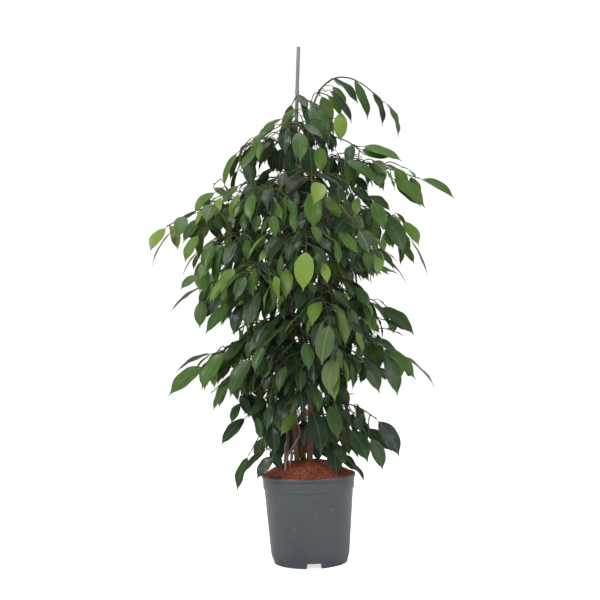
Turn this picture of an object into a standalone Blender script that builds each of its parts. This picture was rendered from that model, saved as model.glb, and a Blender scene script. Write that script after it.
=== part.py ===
"""A weeping fig in a nursery pot, 1.16 m tall: three woody stems and a thin one round a bamboo cane,
with arching leafy branches whose leaves hang to long drip tips.

Metres, +Z up. The origin is the centre of the pot's foot, on the ground, and -Y is the front.
"""

import math
import random

import bmesh
import bpy
from mathutils import Matrix, Vector
from mathutils.bvhtree import BVHTree

UP = Vector((0, 0, 1))
GAP = 0.0003  # left between pieces that touch
WELD = 0.000002

# Pot
POT_HEIGHT = 0.193
POT_TOP_RADIUS = 0.105
POT_FOOT_RADIUS = 0.082
POT_WALL = 0.0016
POT_FLOOR = 0.012  # the floor stands above the ground on a skirt
POT_SEGMENTS = 32
LIP_HEIGHT = 0.008
BAND_HEIGHT = 0.025  # the plain band under the lip
NOTCH_WIDTH = 0.033
NOTCH_HEIGHT = 0.013
NOTCH_COUNT = 4
NOTCH_TURN = math.radians(-85)  # the front notch sits a little right of centre
DRAIN_COUNT = 8
DRAIN_RADIUS = 0.005
DRAIN_CIRCLE = 0.048

# Soil
SOIL_EDGE = 0.189
SOIL_CROWN = 0.221
SOIL_ROUGHNESS = 0.0016

# Bamboo cane
CANE_FOOT = Vector((-0.058, 0.012, 0.060))
CANE_TOP = Vector((0.0012, 0.0, 1.162))
CANE_RADII = (0.0054, 0.0041)
CANE_KNOT_SPACING = 0.168
CANE_TOP_KNOT = 0.103  # from the cane's top down to its first knot
CANE_SIDES = 6

# Woody stems: points from the soil up, then the radius at the soil and at the top
STEM_ROOT_DEPTH = 0.055
STEM_SIDES = 6
STEMS = {
    "stem_right": (
        [(0.004, -0.008, 0.232), (0.008, -0.013, 0.350), (0.001, -0.010, 0.500), (0.012, -0.013, 0.700),
         (0.019, -0.012, 0.850), (0.018, -0.008, 0.985)],
        0.0070, 0.0028,
    ),
    "stem_left": (
        [(-0.025, -0.006, 0.232), (-0.029, -0.012, 0.350), (-0.037, -0.018, 0.550), (-0.034, -0.021, 0.750),
         (-0.030, -0.020, 0.930)],
        0.0062, 0.0026,
    ),
    "stem_back": (
        [(-0.010, 0.026, 0.232), (-0.007, 0.031, 0.400), (0.000, 0.034, 0.600), (0.005, 0.031, 0.780),
         (0.002, 0.028, 0.900)],
        0.0058, 0.0025,
    ),
    "stem_thin": (
        [(-0.050, -0.052, 0.215), (-0.042, -0.050, 0.242), (-0.022, -0.045, 0.273), (-0.017, -0.041, 0.292),
         (-0.027, -0.038, 0.322), (-0.034, -0.037, 0.350), (-0.030, -0.042, 0.400), (-0.024, -0.044, 0.460)],
        0.0024, 0.0017,
    ),
}

# Leafy branches: stem, height where it leaves the stem, tip, and how far it arches over its ends
BRANCHES = {
    # right side, top to bottom
    "branch_crown": ("stem_right", 0.984, (0.190, -0.020, 1.033), 0.086),
    "branch_right_01": ("stem_right", 0.935, (0.150, 0.075, 0.925), 0.030),
    "branch_right_02": ("stem_right", 0.890, (0.275, -0.020, 0.853), 0.020),
    "branch_right_03": ("stem_right", 0.745, (0.262, -0.060, 0.705), 0.060),
    "branch_right_04": ("stem_right", 0.690, (0.205, -0.125, 0.655), 0.050),
    "branch_right_05": ("stem_right", 0.640, (0.150, 0.110, 0.650), 0.040),
    "branch_right_06": ("stem_right", 0.575, (0.205, 0.010, 0.565), 0.040),
    "branch_right_07": ("stem_right", 0.490, (0.262, -0.030, 0.432), 0.060),
    "branch_right_08": ("stem_right", 0.435, (0.160, 0.045, 0.415), 0.040),
    "branch_right_09": ("stem_right", 0.330, (0.163, -0.030, 0.322), 0.030),
    "branch_right_10": ("stem_right", 0.285, (0.085, -0.080, 0.240), 0.035),
    # left side
    "branch_left_01": ("stem_left", 0.929, (-0.078, -0.010, 0.972), 0.014),
    "branch_left_02": ("stem_left", 0.875, (-0.142, -0.040, 0.926), 0.025),
    "branch_left_03": ("stem_left", 0.805, (-0.205, 0.040, 0.850), 0.030),
    "branch_left_04": ("stem_left", 0.735, (-0.315, -0.020, 0.752), 0.045),
    "branch_left_05": ("stem_left", 0.665, (-0.240, -0.090, 0.690), 0.035),
    "branch_left_06": ("stem_left", 0.610, (-0.242, 0.045, 0.625), 0.040),
    "branch_left_07": ("stem_left", 0.560, (-0.200, -0.100, 0.578), 0.035),
    "branch_left_08": ("stem_left", 0.485, (-0.228, -0.015, 0.455), 0.040),
    "branch_left_09": ("stem_left", 0.450, (-0.150, -0.125, 0.478), 0.030),
    "branch_left_10": ("stem_left", 0.400, (-0.155, 0.045, 0.412), 0.035),
    "branch_left_11": ("stem_left", 0.335, (-0.148, -0.045, 0.318), 0.035),
    "branch_left_12": ("stem_left", 0.285, (-0.110, -0.020, 0.246), 0.040),
    # front
    "branch_front_01": ("stem_right", 0.915, (-0.010, -0.110, 0.915), 0.025),
    "branch_front_02": ("stem_right", 0.830, (0.050, -0.185, 0.820), 0.035),
    "branch_front_03": ("stem_left", 0.770, (-0.085, -0.205, 0.765), 0.035),
    "branch_front_04": ("stem_right", 0.770, (0.140, -0.185, 0.745), 0.035),
    "branch_front_05": ("stem_right", 0.720, (0.004, -0.265, 0.685), 0.045),
    "branch_front_06": ("stem_left", 0.630, (-0.115, -0.225, 0.620), 0.035),
    "branch_front_07": ("stem_right", 0.615, (0.060, -0.250, 0.575), 0.045),
    "branch_front_08": ("stem_left", 0.520, (-0.060, -0.235, 0.500), 0.040),
    "branch_front_09": ("stem_right", 0.455, (0.055, -0.200, 0.435), 0.035),
    "branch_front_10": ("stem_thin", 0.435, (-0.075, -0.165, 0.370), 0.040),
    "branch_front_11": ("stem_thin", 0.456, (0.002, -0.115, 0.355), 0.050),
    # back
    "branch_back_01": ("stem_back", 0.899, (0.040, 0.105, 0.955), 0.030),
    "branch_back_02": ("stem_back", 0.845, (-0.085, 0.185, 0.860), 0.030),
    "branch_back_03": ("stem_back", 0.795, (0.125, 0.195, 0.800), 0.030),
    "branch_back_04": ("stem_back", 0.735, (-0.010, 0.248, 0.735), 0.040),
    "branch_back_05": ("stem_back", 0.685, (-0.175, 0.180, 0.690), 0.035),
    "branch_back_06": ("stem_back", 0.655, (0.130, 0.215, 0.655), 0.035),
    "branch_back_07": ("stem_back", 0.590, (-0.065, 0.258, 0.595), 0.040),
    "branch_back_08": ("stem_back", 0.540, (0.110, 0.220, 0.525), 0.040),
    "branch_back_09": ("stem_back", 0.500, (-0.155, 0.165, 0.495), 0.035),
    "branch_back_10": ("stem_back", 0.445, (0.015, 0.225, 0.435), 0.040),
    "branch_back_11": ("stem_back", 0.395, (0.105, 0.150, 0.400), 0.035),
    "branch_back_12": ("stem_back", 0.345, (-0.095, 0.150, 0.345), 0.035),
    "branch_back_13": ("stem_back", 0.310, (0.045, 0.150, 0.290), 0.035),
}

# Leaves that give the plant its outline: where the blade starts, its tip, and the way it faces.
# The first of a branch ends it. Any other has a stalk on the nearest twig, or else its own side twig.
SET_LEAVES = {
    "branch_crown": [
        ((0.197, -0.020, 1.020), (0.222, -0.025, 0.938), (0.8, -0.55, 0.35)),
        ((0.163, -0.015, 1.052), (0.189, -0.020, 0.964), (0.8, -0.55, 0.35)),
        ((0.127, -0.025, 1.073), (0.154, -0.030, 0.979), (0.75, -0.6, 0.35)),
        ((0.077, -0.008, 1.085), (0.134, -0.010, 1.020), (0.45, -0.55, 0.7)),
        ((0.070, -0.050, 1.044), (0.116, -0.058, 0.964), (0.55, -0.55, 0.58)),
        ((0.026, -0.055, 1.010), (0.055, -0.070, 0.922), (-0.2, -0.95, 0.2)),
        ((0.092, -0.060, 0.990), (0.088, -0.075, 0.920), (0.1, -0.95, 0.2)),
        ((0.066, -0.030, 1.039), (0.092, -0.035, 0.985), (0.3, -0.7, 0.5)),
        ((0.053, 0.030, 1.053), (0.073, 0.055, 0.986), (0.2, 0.9, 0.3)),
    ],
    "branch_right_02": [
        ((0.273, -0.020, 0.844), (0.345, -0.025, 0.795), (0.1, -0.6, 0.8)),
        ((0.141, -0.050, 0.916), (0.227, -0.055, 0.880), (0.1, -0.6, 0.8)),
        ((0.101, -0.090, 0.876), (0.166, -0.100, 0.815), (0.1, -0.7, 0.7)),
        ((0.166, 0.034, 0.891), (0.244, 0.042, 0.867), (0.05, -0.48, 0.88)),
        ((0.206, -0.050, 0.841), (0.271, -0.060, 0.770), (0.2, -0.75, 0.6)),
    ],
    "branch_right_03": [
        ((0.241, -0.020, 0.710), (0.277, -0.025, 0.624), (0.9, -0.25, 0.35)),
        ((0.224, -0.045, 0.746), (0.255, -0.060, 0.688), (0.4, -0.85, 0.3)),
        ((0.178, -0.085, 0.756), (0.214, -0.100, 0.667), (0.2, -0.9, 0.4)),
        ((0.153, -0.110, 0.781), (0.170, -0.125, 0.715), (0.1, -0.9, 0.4)),
    ],
    "branch_right_04": [
        ((0.178, -0.080, 0.664), (0.222, -0.085, 0.604), (0.7, -0.2, 0.7)),
        ((0.112, -0.130, 0.672), (0.148, -0.140, 0.612), (0.2, -0.8, 0.5)),
    ],
    "branch_right_06": [
        ((0.170, -0.030, 0.556), (0.242, -0.035, 0.489), (0.1, -0.62, 0.8)),
        ((0.110, -0.105, 0.599), (0.136, -0.120, 0.549), (0.1, -0.9, 0.3)),
        ((0.171, 0.015, 0.512), (0.225, 0.015, 0.492), (0, -0.2, 1)),
        ((0.132, -0.070, 0.488), (0.205, -0.075, 0.453), (0, -0.45, 0.9)),
    ],
    "branch_right_07": [
        ((0.218, -0.030, 0.447), (0.285, -0.035, 0.376), (0.3, -0.15, 0.95)),
        ((0.174, -0.060, 0.463), (0.238, -0.065, 0.394), (0.1, -0.5, 0.85)),
        ((0.172, -0.090, 0.444), (0.195, -0.100, 0.363), (0.4, -0.8, 0.2)),
        ((0.121, -0.115, 0.443), (0.150, -0.125, 0.369), (0.2, -0.85, 0.3)),
    ],
    "branch_right_09": [
        ((0.154, -0.080, 0.309), (0.196, -0.085, 0.232), (0.2, -0.85, 0.35)),
        ((0.092, -0.110, 0.295), (0.127, -0.120, 0.227), (-0.1, -0.9, 0.3)),
        ((0.136, -0.100, 0.275), (0.154, -0.105, 0.206), (0.2, -0.8, 0.2)),
        ((0.126, -0.050, 0.290), (0.186, -0.055, 0.240), (0, -0.6, 0.7)),
        ((0.048, -0.100, 0.347), (0.063, -0.112, 0.274), (-0.1, -0.9, 0.3)),
    ],
    "branch_right_10": [
        ((0.092, -0.090, 0.223), (0.118, -0.100, 0.183), (0.6, -0.3, 0.7)),
        ((0.055, -0.075, 0.264), (0.081, -0.085, 0.217), (0.2, -0.85, 0.3)),
    ],
    "branch_left_01": [
        ((-0.042, -0.020, 0.990), (-0.091, -0.025, 0.951), (-0.2, -0.6, 0.8)),
        ((-0.011, -0.050, 1.004), (-0.039, -0.060, 0.958), (-0.3, -0.7, 0.6)),
    ],
    "branch_left_02": [
        ((-0.144, -0.010, 0.917), (-0.174, -0.020, 0.838), (-0.75, -0.5, 0.4)),
        ((-0.095, -0.045, 0.928), (-0.135, -0.055, 0.866), (-0.3, -0.8, 0.5)),
    ],
    "branch_left_03": [
        ((-0.241, 0.020, 0.788), (-0.301, 0.020, 0.742), (-0.1, -0.35, 0.95)),
        ((-0.198, -0.010, 0.827), (-0.246, -0.020, 0.779), (-0.3, -0.8, 0.5)),
        ((-0.140, -0.060, 0.832), (-0.177, -0.070, 0.789), (-0.2, -0.7, 0.7)),
    ],
    "branch_left_04": [
        ((-0.312, 0.000, 0.750), (-0.344, -0.020, 0.695), (-0.35, -0.85, 0.4)),
        ((-0.293, -0.030, 0.738), (-0.337, -0.035, 0.662), (-0.6, -0.15, 0.75)),
        ((-0.226, -0.045, 0.764), (-0.265, -0.055, 0.707), (-0.2, -0.7, 0.7)),
        ((-0.230, -0.070, 0.723), (-0.257, -0.080, 0.661), (-0.4, -0.75, 0.4)),
    ],
    "branch_left_05": [
        ((-0.217, -0.070, 0.698), (-0.265, -0.075, 0.635), (-0.6, -0.2, 0.75)),
        ((-0.227, -0.095, 0.633), (-0.263, -0.115, 0.600), (-0.1, -0.8, 0.6)),
        ((-0.195, -0.110, 0.668), (-0.221, -0.120, 0.619), (-0.2, -0.8, 0.5)),
        ((-0.142, -0.130, 0.697), (-0.168, -0.140, 0.643), (-0.2, -0.8, 0.5)),
    ],
    "branch_left_06": [
        ((-0.225, -0.010, 0.616), (-0.301, -0.015, 0.558), (-0.2, -0.2, 0.95)),
        ((-0.225, -0.040, 0.581), (-0.231, -0.055, 0.519), (-0.1, -0.9, 0.2)),
    ],
    "branch_left_07": [
        ((-0.155, -0.100, 0.570), (-0.215, -0.105, 0.504), (-0.3, -0.6, 0.7)),
        ((-0.129, -0.130, 0.567), (-0.150, -0.140, 0.499), (-0.3, -0.85, 0.2)),
        ((-0.096, -0.160, 0.588), (-0.120, -0.170, 0.509), (-0.2, -0.9, 0.3)),
    ],
    "branch_left_08": [
        ((-0.231, -0.040, 0.435), (-0.303, -0.050, 0.371), (-0.2, -0.8, 0.55)),
        ((-0.215, 0.010, 0.463), (-0.295, 0.010, 0.424), (-0.1, -0.2, 0.95)),
        ((-0.177, -0.075, 0.464), (-0.225, -0.085, 0.384), (-0.3, -0.7, 0.6)),
        ((-0.132, -0.050, 0.492), (-0.181, -0.060, 0.432), (-0.2, -0.6, 0.8)),
    ],
    "branch_left_09": [
        ((-0.166, -0.100, 0.397), (-0.201, -0.105, 0.342), (-0.5, -0.4, 0.7)),
        ((-0.118, -0.130, 0.449), (-0.162, -0.140, 0.370), (-0.3, -0.75, 0.5)),
    ],
    "branch_left_11": [
        ((-0.138, -0.045, 0.320), (-0.189, -0.050, 0.261), (-0.35, -0.7, 0.6)),
        ((-0.085, -0.080, 0.359), (-0.130, -0.085, 0.322), (-0.1, -0.6, 0.8)),
        ((-0.146, -0.060, 0.354), (-0.165, -0.070, 0.311), (-0.4, -0.8, 0.2)),
    ],
    "branch_left_12": [
        ((-0.132, -0.060, 0.237), (-0.156, -0.070, 0.163), (-0.6, -0.6, 0.3)),
        ((-0.098, -0.085, 0.249), (-0.138, -0.090, 0.208), (-0.4, -0.5, 0.7)),
        ((-0.074, -0.100, 0.242), (-0.112, -0.105, 0.196), (-0.2, -0.8, 0.6)),
        ((-0.075, -0.085, 0.302), (-0.071, -0.095, 0.243), (-0.1, -0.9, 0.2)),
    ],
    "branch_front_01": [
        ((-0.003, -0.120, 0.934), (0.000, -0.145, 0.861), (0, -0.9, 0.3)),
        ((0.041, -0.110, 0.902), (0.042, -0.125, 0.841), (0.1, -0.9, 0.2)),
    ],
    "branch_front_02": [
        ((0.022, -0.200, 0.786), (0.021, -0.215, 0.710), (0, -0.9, 0.2)),
        ((0.046, -0.170, 0.785), (0.077, -0.185, 0.731), (0.1, -0.85, 0.4)),
    ],
    "branch_front_03": [
        ((-0.071, -0.190, 0.776), (-0.042, -0.205, 0.732), (0, -0.9, 0.4)),
        ((-0.061, -0.215, 0.741), (-0.057, -0.230, 0.693), (0, -0.95, 0.2)),
        ((-0.060, -0.200, 0.679), (-0.091, -0.215, 0.645), (-0.1, -0.85, 0.5)),
    ],
    "branch_front_04": [
        ((0.074, -0.200, 0.705), (0.110, -0.210, 0.657), (0.2, -0.8, 0.4)),
    ],
    "branch_front_05": [
        ((0.004, -0.275, 0.657), (-0.002, -0.295, 0.578), (0, -0.9, 0.2)),
        ((0.035, -0.265, 0.638), (0.045, -0.275, 0.594), (0.1, -0.9, 0.3)),
    ],
    "branch_front_07": [
        ((0.047, -0.250, 0.513), (0.034, -0.260, 0.434), (0, 0.95, 0.15)),
        ((0.057, -0.235, 0.451), (0.043, -0.245, 0.376), (0.1, 0.9, 0.15)),
        ((0.075, -0.215, 0.446), (0.080, -0.220, 0.389), (0.9, 0.3, 0.1)),
        ((0.065, -0.225, 0.544), (0.077, -0.230, 0.469), (0.8, 0.5, 0.1)),
    ],
    "branch_back_12": [
        ((-0.104, 0.085, 0.265), (-0.118, 0.105, 0.207), (-0.2, 0.9, 0.3)),
        ((-0.061, 0.075, 0.269), (-0.073, 0.095, 0.198), (-0.1, 0.9, 0.3)),
    ],
    "branch_back_13": [
        ((0.034, 0.085, 0.275), (0.051, 0.105, 0.201), (0.2, 0.9, 0.3)),
        ((-0.010, 0.090, 0.280), (-0.014, 0.110, 0.204), (0, 0.9, 0.3)),
        ((0.077, 0.050, 0.282), (0.095, 0.062, 0.219), (0.3, 0.8, 0.3)),
    ],
    "branch_front_11": [
        ((0.011, -0.100, 0.336), (0.027, -0.110, 0.242), (0.1, -0.9, 0.3)),
    ],
    "branch_front_08": [
        ((-0.002, -0.235, 0.481), (0.007, -0.250, 0.425), (0.1, -0.9, 0.3)),
    ],
}

# How far the foliage reaches to the left and to the right at each height
REACH = (
    (0.196, -0.020, 0.020), (0.212, -0.157, 0.161), (0.247, -0.105, 0.150), (0.283, -0.112, 0.150),
    (0.319, -0.128, 0.125), (0.350, -0.155, 0.097), (0.375, -0.230, 0.118), (0.391, -0.299, 0.240),
    (0.409, -0.290, 0.267), (0.445, -0.271, 0.230), (0.462, -0.199, 0.213), (0.480, -0.181, 0.189),
    (0.498, -0.147, 0.223), (0.535, -0.252, 0.244), (0.554, -0.308, 0.207), (0.573, -0.294, 0.146),
    (0.609, -0.282, 0.145), (0.643, -0.277, 0.279), (0.681, -0.342, 0.263), (0.717, -0.355, 0.264),
    (0.735, -0.346, 0.262), (0.753, -0.294, 0.256), (0.772, -0.282, 0.213), (0.789, -0.250, 0.275),
    (0.806, -0.240, 0.348), (0.825, -0.217, 0.340), (0.843, -0.181, 0.322), (0.861, -0.173, 0.250),
    (0.880, -0.172, 0.165), (0.899, -0.160, 0.118), (0.917, -0.138, 0.100), (0.936, -0.105, 0.090),
    (0.972, -0.076, 0.085), (0.990, -0.060, 0.080), (1.008, -0.038, 0.076), (1.060, -0.012, 0.060),
)
DEPTH = 0.300  # how far it reaches to the front and to the back
BARE_FOOT = (-0.032, 0.013, 0.325)  # left and right edge and top of the clearing in front of the stems

# Twigs
BRANCH_RADII = (0.0028, 0.0014)
BRANCH_RINGS = 5
BRANCH_SIDES = 5  # of the space that is kept free round it
TWIG_RADII = (0.0016, 0.0013)
TWIG_RINGS = 3
TWIG_SIDES = 3
TWIG_REACH = 0.045  # the length a side twig to a set leaf would best have
TWIG_RISE = 0.012  # how far a side twig arches over its ends
TWIG_DROOP = 0.35  # how far it hangs, as a share of its length
SWAY = 0.12  # most that a branch bends sideways, as a share of its reach
SIDE_TWIGS = ((0.45, 0.085), (0.68, 0.070))  # place along the branch, and length
SHORT_BRANCH = 0.150  # a branch shorter than this has one side twig

# Leaves
LEAF_LENGTH = (0.074, 0.096)
LEAF_HALF_WIDTH = 0.240  # of the length
LEAF_THICKNESS = 0.0008
STALK = 0.014
STALK_RADIUS = 0.0008
LEAF_OUTLINE = ((0.00, 0.05), (0.20, 0.66), (0.52, 0.97), (0.83, 0.17))  # way along, share of half width
LEAF_SPACING = 0.051
FIRST_LEAF = 0.34  # share of a branch that is bare wood
ROOT_SINK = 0.0002  # how far past its twig's middle a stalk starts
ROOT_RADIUS = 0.0005
CLEARANCE = 0.0012  # each blade keeps this from everything else
STALK_CLEARANCE = 0.0018  # radius that is kept free for a stalk
TWIG_CLEARANCE = (0.0032, 0.0030)  # and for a side twig, from its foot to its end
BRANCH_CLEARANCE = (0.0056, 0.0034)
CANE_CLEARANCE = (0.0075, 0.0060)
BRANCH_START = 0.012  # length at a branch's foot that may lie against others
TWIG_START = 0.004
LOOSEST = 0.22  # share by which a leaf shrinks before it is given up
LEAF_TRIES = 40
BRANCH_TRIES = 60
JOIN_TRIES = 8
HAIR = 0.00002  # shift between two tries to join a branch
TWIG_TRIES = 12
SET_ARCH = math.radians(14)
LONG_STALK = 0.030  # a set leaf farther than this from the wood gets a side twig
GROWTH_SEED = 11


def clear_scene():
    for obj in list(bpy.data.objects):
        bpy.data.objects.remove(obj)


def make_material(name, colour, roughness):
    material = bpy.data.materials.new(name)
    material.use_nodes = True
    shader = material.node_tree.nodes["Principled BSDF"]
    shader.inputs["Base Color"].default_value = (*colour, 1)
    shader.inputs["Roughness"].default_value = roughness
    shader.inputs["Metallic"].default_value = 0.0
    return material


def new_object(name, points, faces, material=None):
    mesh = bpy.data.meshes.new(name)
    mesh.from_pydata([tuple(p) for p in points], [], faces)
    shell = bmesh.new()
    shell.from_mesh(mesh)
    bmesh.ops.recalc_face_normals(shell, faces=shell.faces)
    shell.to_mesh(mesh)
    shell.free()
    obj = bpy.data.objects.new(name, mesh)
    if material:
        mesh.materials.append(material)
    bpy.context.scene.collection.objects.link(obj)
    return obj


def shade_round(obj, angle=40):
    obj.data.shade_smooth()
    obj.data.set_sharp_from_angle(angle=math.radians(angle))


def boolean(obj, cutter, operation):
    """Cuts or joins obj by an object or a collection, applies it, and removes what it used."""
    modifier = obj.modifiers.new(operation.title(), "BOOLEAN")
    modifier.operation = operation
    modifier.solver = "EXACT"
    if isinstance(cutter, bpy.types.Collection):
        modifier.operand_type = "COLLECTION"
        modifier.collection = cutter
        used = list(cutter.objects)
    else:
        modifier.object = cutter
        used = [cutter]
    graph = bpy.context.evaluated_depsgraph_get()
    result = bpy.data.meshes.new_from_object(obj.evaluated_get(graph))
    obj.modifiers.clear()
    obj.data = result
    for piece in used:
        bpy.data.objects.remove(piece)


def keep_largest(obj):
    """Welds the slivers that joining leaves, and drops the crumbs that a cut leaves beside the body.
    Returns whether every edge of the body has a face on each side."""
    shell = bmesh.new()
    shell.from_mesh(obj.data)
    bmesh.ops.triangulate(shell, faces=shell.faces)
    bmesh.ops.remove_doubles(shell, verts=shell.verts, dist=WELD)
    bmesh.ops.dissolve_degenerate(shell, edges=shell.edges, dist=WELD)
    bmesh.ops.triangulate(shell, faces=shell.faces)
    islands = []
    waiting = set(shell.verts)
    while waiting:
        island, front = set(), [waiting.pop()]
        while front:
            vert = front.pop()
            island.add(vert)
            near = {edge.other_vert(vert) for edge in vert.link_edges} & waiting
            waiting -= near
            front += near
        islands.append(island)
    islands.sort(key=len)
    for island in islands[:-1]:
        bmesh.ops.delete(shell, geom=list(island), context="VERTS")
    closed = all(len(edge.link_faces) == 2 for edge in shell.edges)
    shell.to_mesh(obj.data)
    shell.free()
    return closed


# Shapes


def turned(profile, segments):
    """Points and faces of a solid turned about Z, from a profile that starts and ends on the axis."""
    points = [(0, 0, profile[0][1])]
    for radius, height in profile[1:-1]:
        for k in range(segments):
            turn = 2 * math.pi * k / segments
            points.append((radius * math.cos(turn), radius * math.sin(turn), height))
    points.append((0, 0, profile[-1][1]))
    rings = len(profile) - 2
    last = len(points) - 1
    faces = []
    for k in range(segments):
        n = (k + 1) % segments
        faces.append((0, 1 + n, 1 + k))
        for r in range(rings - 1):
            low, high = 1 + r * segments, 1 + (r + 1) * segments
            faces.append((low + k, low + n, high + n, high + k))
        top = 1 + (rings - 1) * segments
        faces.append((last, top + k, top + n))
    return points, faces


def smooth_path(points, count):
    """Evenly numbered points on a Catmull-Rom curve through the given ones."""
    points = [Vector(p) for p in points]
    ends = [points[0] * 2 - points[1]] + points + [points[-1] * 2 - points[-2]]
    path = []
    for i in range(count):
        place = i / (count - 1) * (len(points) - 1)
        k = min(int(place), len(points) - 2)
        t = place - k
        a, b, c, d = ends[k:k + 4]
        path.append(0.5 * (2 * b + (c - a) * t + (2 * a - 5 * b + 4 * c - d) * t ** 2
                           + (3 * b - a - 3 * c + d) * t ** 3))
    return path


def arch(start, tip, rise, count, sideways=0.0, arrival=None):
    """Points on a branch that leaves its stem upwards and outwards, arches over and droops to its tip.
    It may be given the direction to arrive in."""
    out = (tip - start) * Vector((1, 1, 0))
    side = UP.cross(out) * sideways
    first = start + out * 0.22 + side + UP * (max(tip.z - start.z, 0) + rise) * 1.25
    second = tip - out * 0.30 + side + UP * rise * 1.35
    if arrival:
        second = (second + tip - arrival * out.length * 0.35) / 2
    path = []
    for i in range(count):
        t = i / (count - 1)
        s = 1 - t
        path.append(start * s ** 3 + first * 3 * s * s * t + second * 3 * s * t * t + tip * t ** 3)
    return path


def taper(radii, count):
    """Evenly spaced radii between two."""
    return [radii[0] + (radii[1] - radii[0]) * i / (count - 1) for i in range(count)]


def tube(path, radii, sides):
    """Points and faces of a round bar along a path. Its radius runs between two values or as listed."""
    if len(radii) != len(path):
        radii = taper(radii, len(path))
    points = []
    across = None
    for i, centre in enumerate(path):
        along = (path[min(i + 1, len(path) - 1)] - path[max(i - 1, 0)]).normalized()
        if across is None:
            across = along.orthogonal() if abs(along.z) < 0.9 else Vector((1, 0, 0))
        across = (across - along * across.dot(along)).normalized()
        other = along.cross(across)
        for k in range(sides):
            turn = 2 * math.pi * k / sides
            points.append(centre + (across * math.cos(turn) + other * math.sin(turn)) * radii[i])
    faces = [tuple(reversed(range(sides)))]
    for i in range(len(path) - 1):
        for k in range(sides):
            n = (k + 1) % sides
            low, high = i * sides, (i + 1) * sides
            faces.append((low + k, low + n, high + n, high + k))
    top = (len(path) - 1) * sides
    faces.append(tuple(top + k for k in range(sides)))
    return points, faces


# Pot, soil and cane


def pot_outside():
    """The pot's outer profile, foot to lip: a drawn-in foot, a tapered wall, a plain band and a lip."""
    band_foot = POT_HEIGHT - LIP_HEIGHT - BAND_HEIGHT
    return [
        (POT_FOOT_RADIUS, 0.0),
        (POT_FOOT_RADIUS + 0.0048, 0.018),
        (POT_TOP_RADIUS - 0.0058, band_foot),
        (POT_TOP_RADIUS - 0.0036, band_foot + 0.002),
        (POT_TOP_RADIUS - 0.0028, POT_HEIGHT - LIP_HEIGHT),
        (POT_TOP_RADIUS - 0.0004, POT_HEIGHT - LIP_HEIGHT + 0.001),
        (POT_TOP_RADIUS, POT_HEIGHT - 0.002),
        (POT_TOP_RADIUS - 0.0012, POT_HEIGHT),
    ]


def pot_inside():
    """The pot's inner profile, lip to floor."""
    return [
        (POT_TOP_RADIUS - 0.0034, POT_HEIGHT),
        (POT_TOP_RADIUS - 0.0050, POT_HEIGHT - 0.006),
        (POT_FOOT_RADIUS + 0.0040 - POT_WALL, 0.020),
        (POT_FOOT_RADIUS - 0.0040, POT_FLOOR + POT_WALL),
    ]


def make_pot(material):
    under = [(0, POT_FLOOR), (POT_FOOT_RADIUS - 0.0045, POT_FLOOR), (POT_FOOT_RADIUS - 0.0026, 0.0)]
    profile = under + pot_outside() + pot_inside() + [(0, POT_FLOOR + POT_WALL)]
    pot = new_object("pot", *turned(profile, POT_SEGMENTS), material)
    cutters = bpy.data.collections.new("pot_cutters")
    bpy.context.scene.collection.children.link(cutters)
    for k in range(NOTCH_COUNT):
        turn = NOTCH_TURN + 2 * math.pi * k / NOTCH_COUNT
        out = Vector((math.cos(turn), math.sin(turn), 0))
        aside = UP.cross(out)
        corners = []
        for reach in (POT_FOOT_RADIUS - 0.012, POT_FOOT_RADIUS + 0.012):
            for low, width in ((-0.002, NOTCH_WIDTH), (NOTCH_HEIGHT - 0.0017, NOTCH_WIDTH - 0.003)):
                for sign in (-1, 1):
                    corners.append(out * reach + aside * sign * width / 2 + UP * low)
        notch = new_object("notch", corners, [
            (0, 1, 3, 2), (4, 6, 7, 5), (0, 4, 5, 1), (2, 3, 7, 6), (0, 2, 6, 4), (1, 5, 7, 3)])
        bpy.context.scene.collection.objects.unlink(notch)
        cutters.objects.link(notch)
    for k in range(DRAIN_COUNT):
        turn = 2 * math.pi * (k + 0.5) / DRAIN_COUNT
        foot = Vector((math.cos(turn), math.sin(turn), 0)) * DRAIN_CIRCLE + UP * (POT_FLOOR - 0.002)
        drain = new_object("drain", *tube([foot, foot + UP * 0.006], (DRAIN_RADIUS, DRAIN_RADIUS), 6))
        bpy.context.scene.collection.objects.unlink(drain)
        cutters.objects.link(drain)
    boolean(pot, cutters, "DIFFERENCE")
    shade_round(pot)
    return pot


def dome(radius):
    """Height of the soil's crown at a radius."""
    edge = POT_TOP_RADIUS - 0.006
    share = min(radius / edge, 1)
    return SOIL_EDGE + (SOIL_CROWN - SOIL_EDGE) * (1 - share ** 2.4)


def make_soil(material, buried):
    """The soil fills the pot to a crown, with a plain hole for each stem and for the cane."""
    inner = [(r - GAP, z) for r, z in reversed(pot_inside()[1:])]
    inner[0] = (inner[0][0], inner[0][1] + GAP)
    floor = inner[0][1]
    edge = (POT_TOP_RADIUS - 0.0050 - GAP, SOIL_EDGE - 0.002)
    crown = [(r, dome(r)) for r in (0.092, 0.076, 0.055, 0.030)]
    profile = [(0, floor)] + inner + [edge] + crown + [(0, SOIL_CROWN)]
    points, faces = turned(profile, POT_SEGMENTS)
    chance = random.Random(5)
    rough = 1 + (len(inner) + 1) * POT_SEGMENTS
    points = [Vector(p) + UP * (chance.uniform(-1, 1) * SOIL_ROUGHNESS if i >= rough else 0)
              for i, p in enumerate(points)]
    soil = new_object("soil", points, faces, material)
    holes = bpy.data.collections.new("soil_holes")
    bpy.context.scene.collection.children.link(holes)
    for foot, top, radius, sides in buried:
        along = (top - foot).normalized()
        wide = radius + GAP / math.cos(math.pi / sides)
        path = [foot - along * GAP, top]
        hole = new_object("hole", *tube(path, (wide, wide), sides))
        bpy.context.scene.collection.objects.unlink(hole)
        holes.objects.link(hole)
    boolean(soil, holes, "DIFFERENCE")
    shade_round(soil, 60)
    return soil


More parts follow.
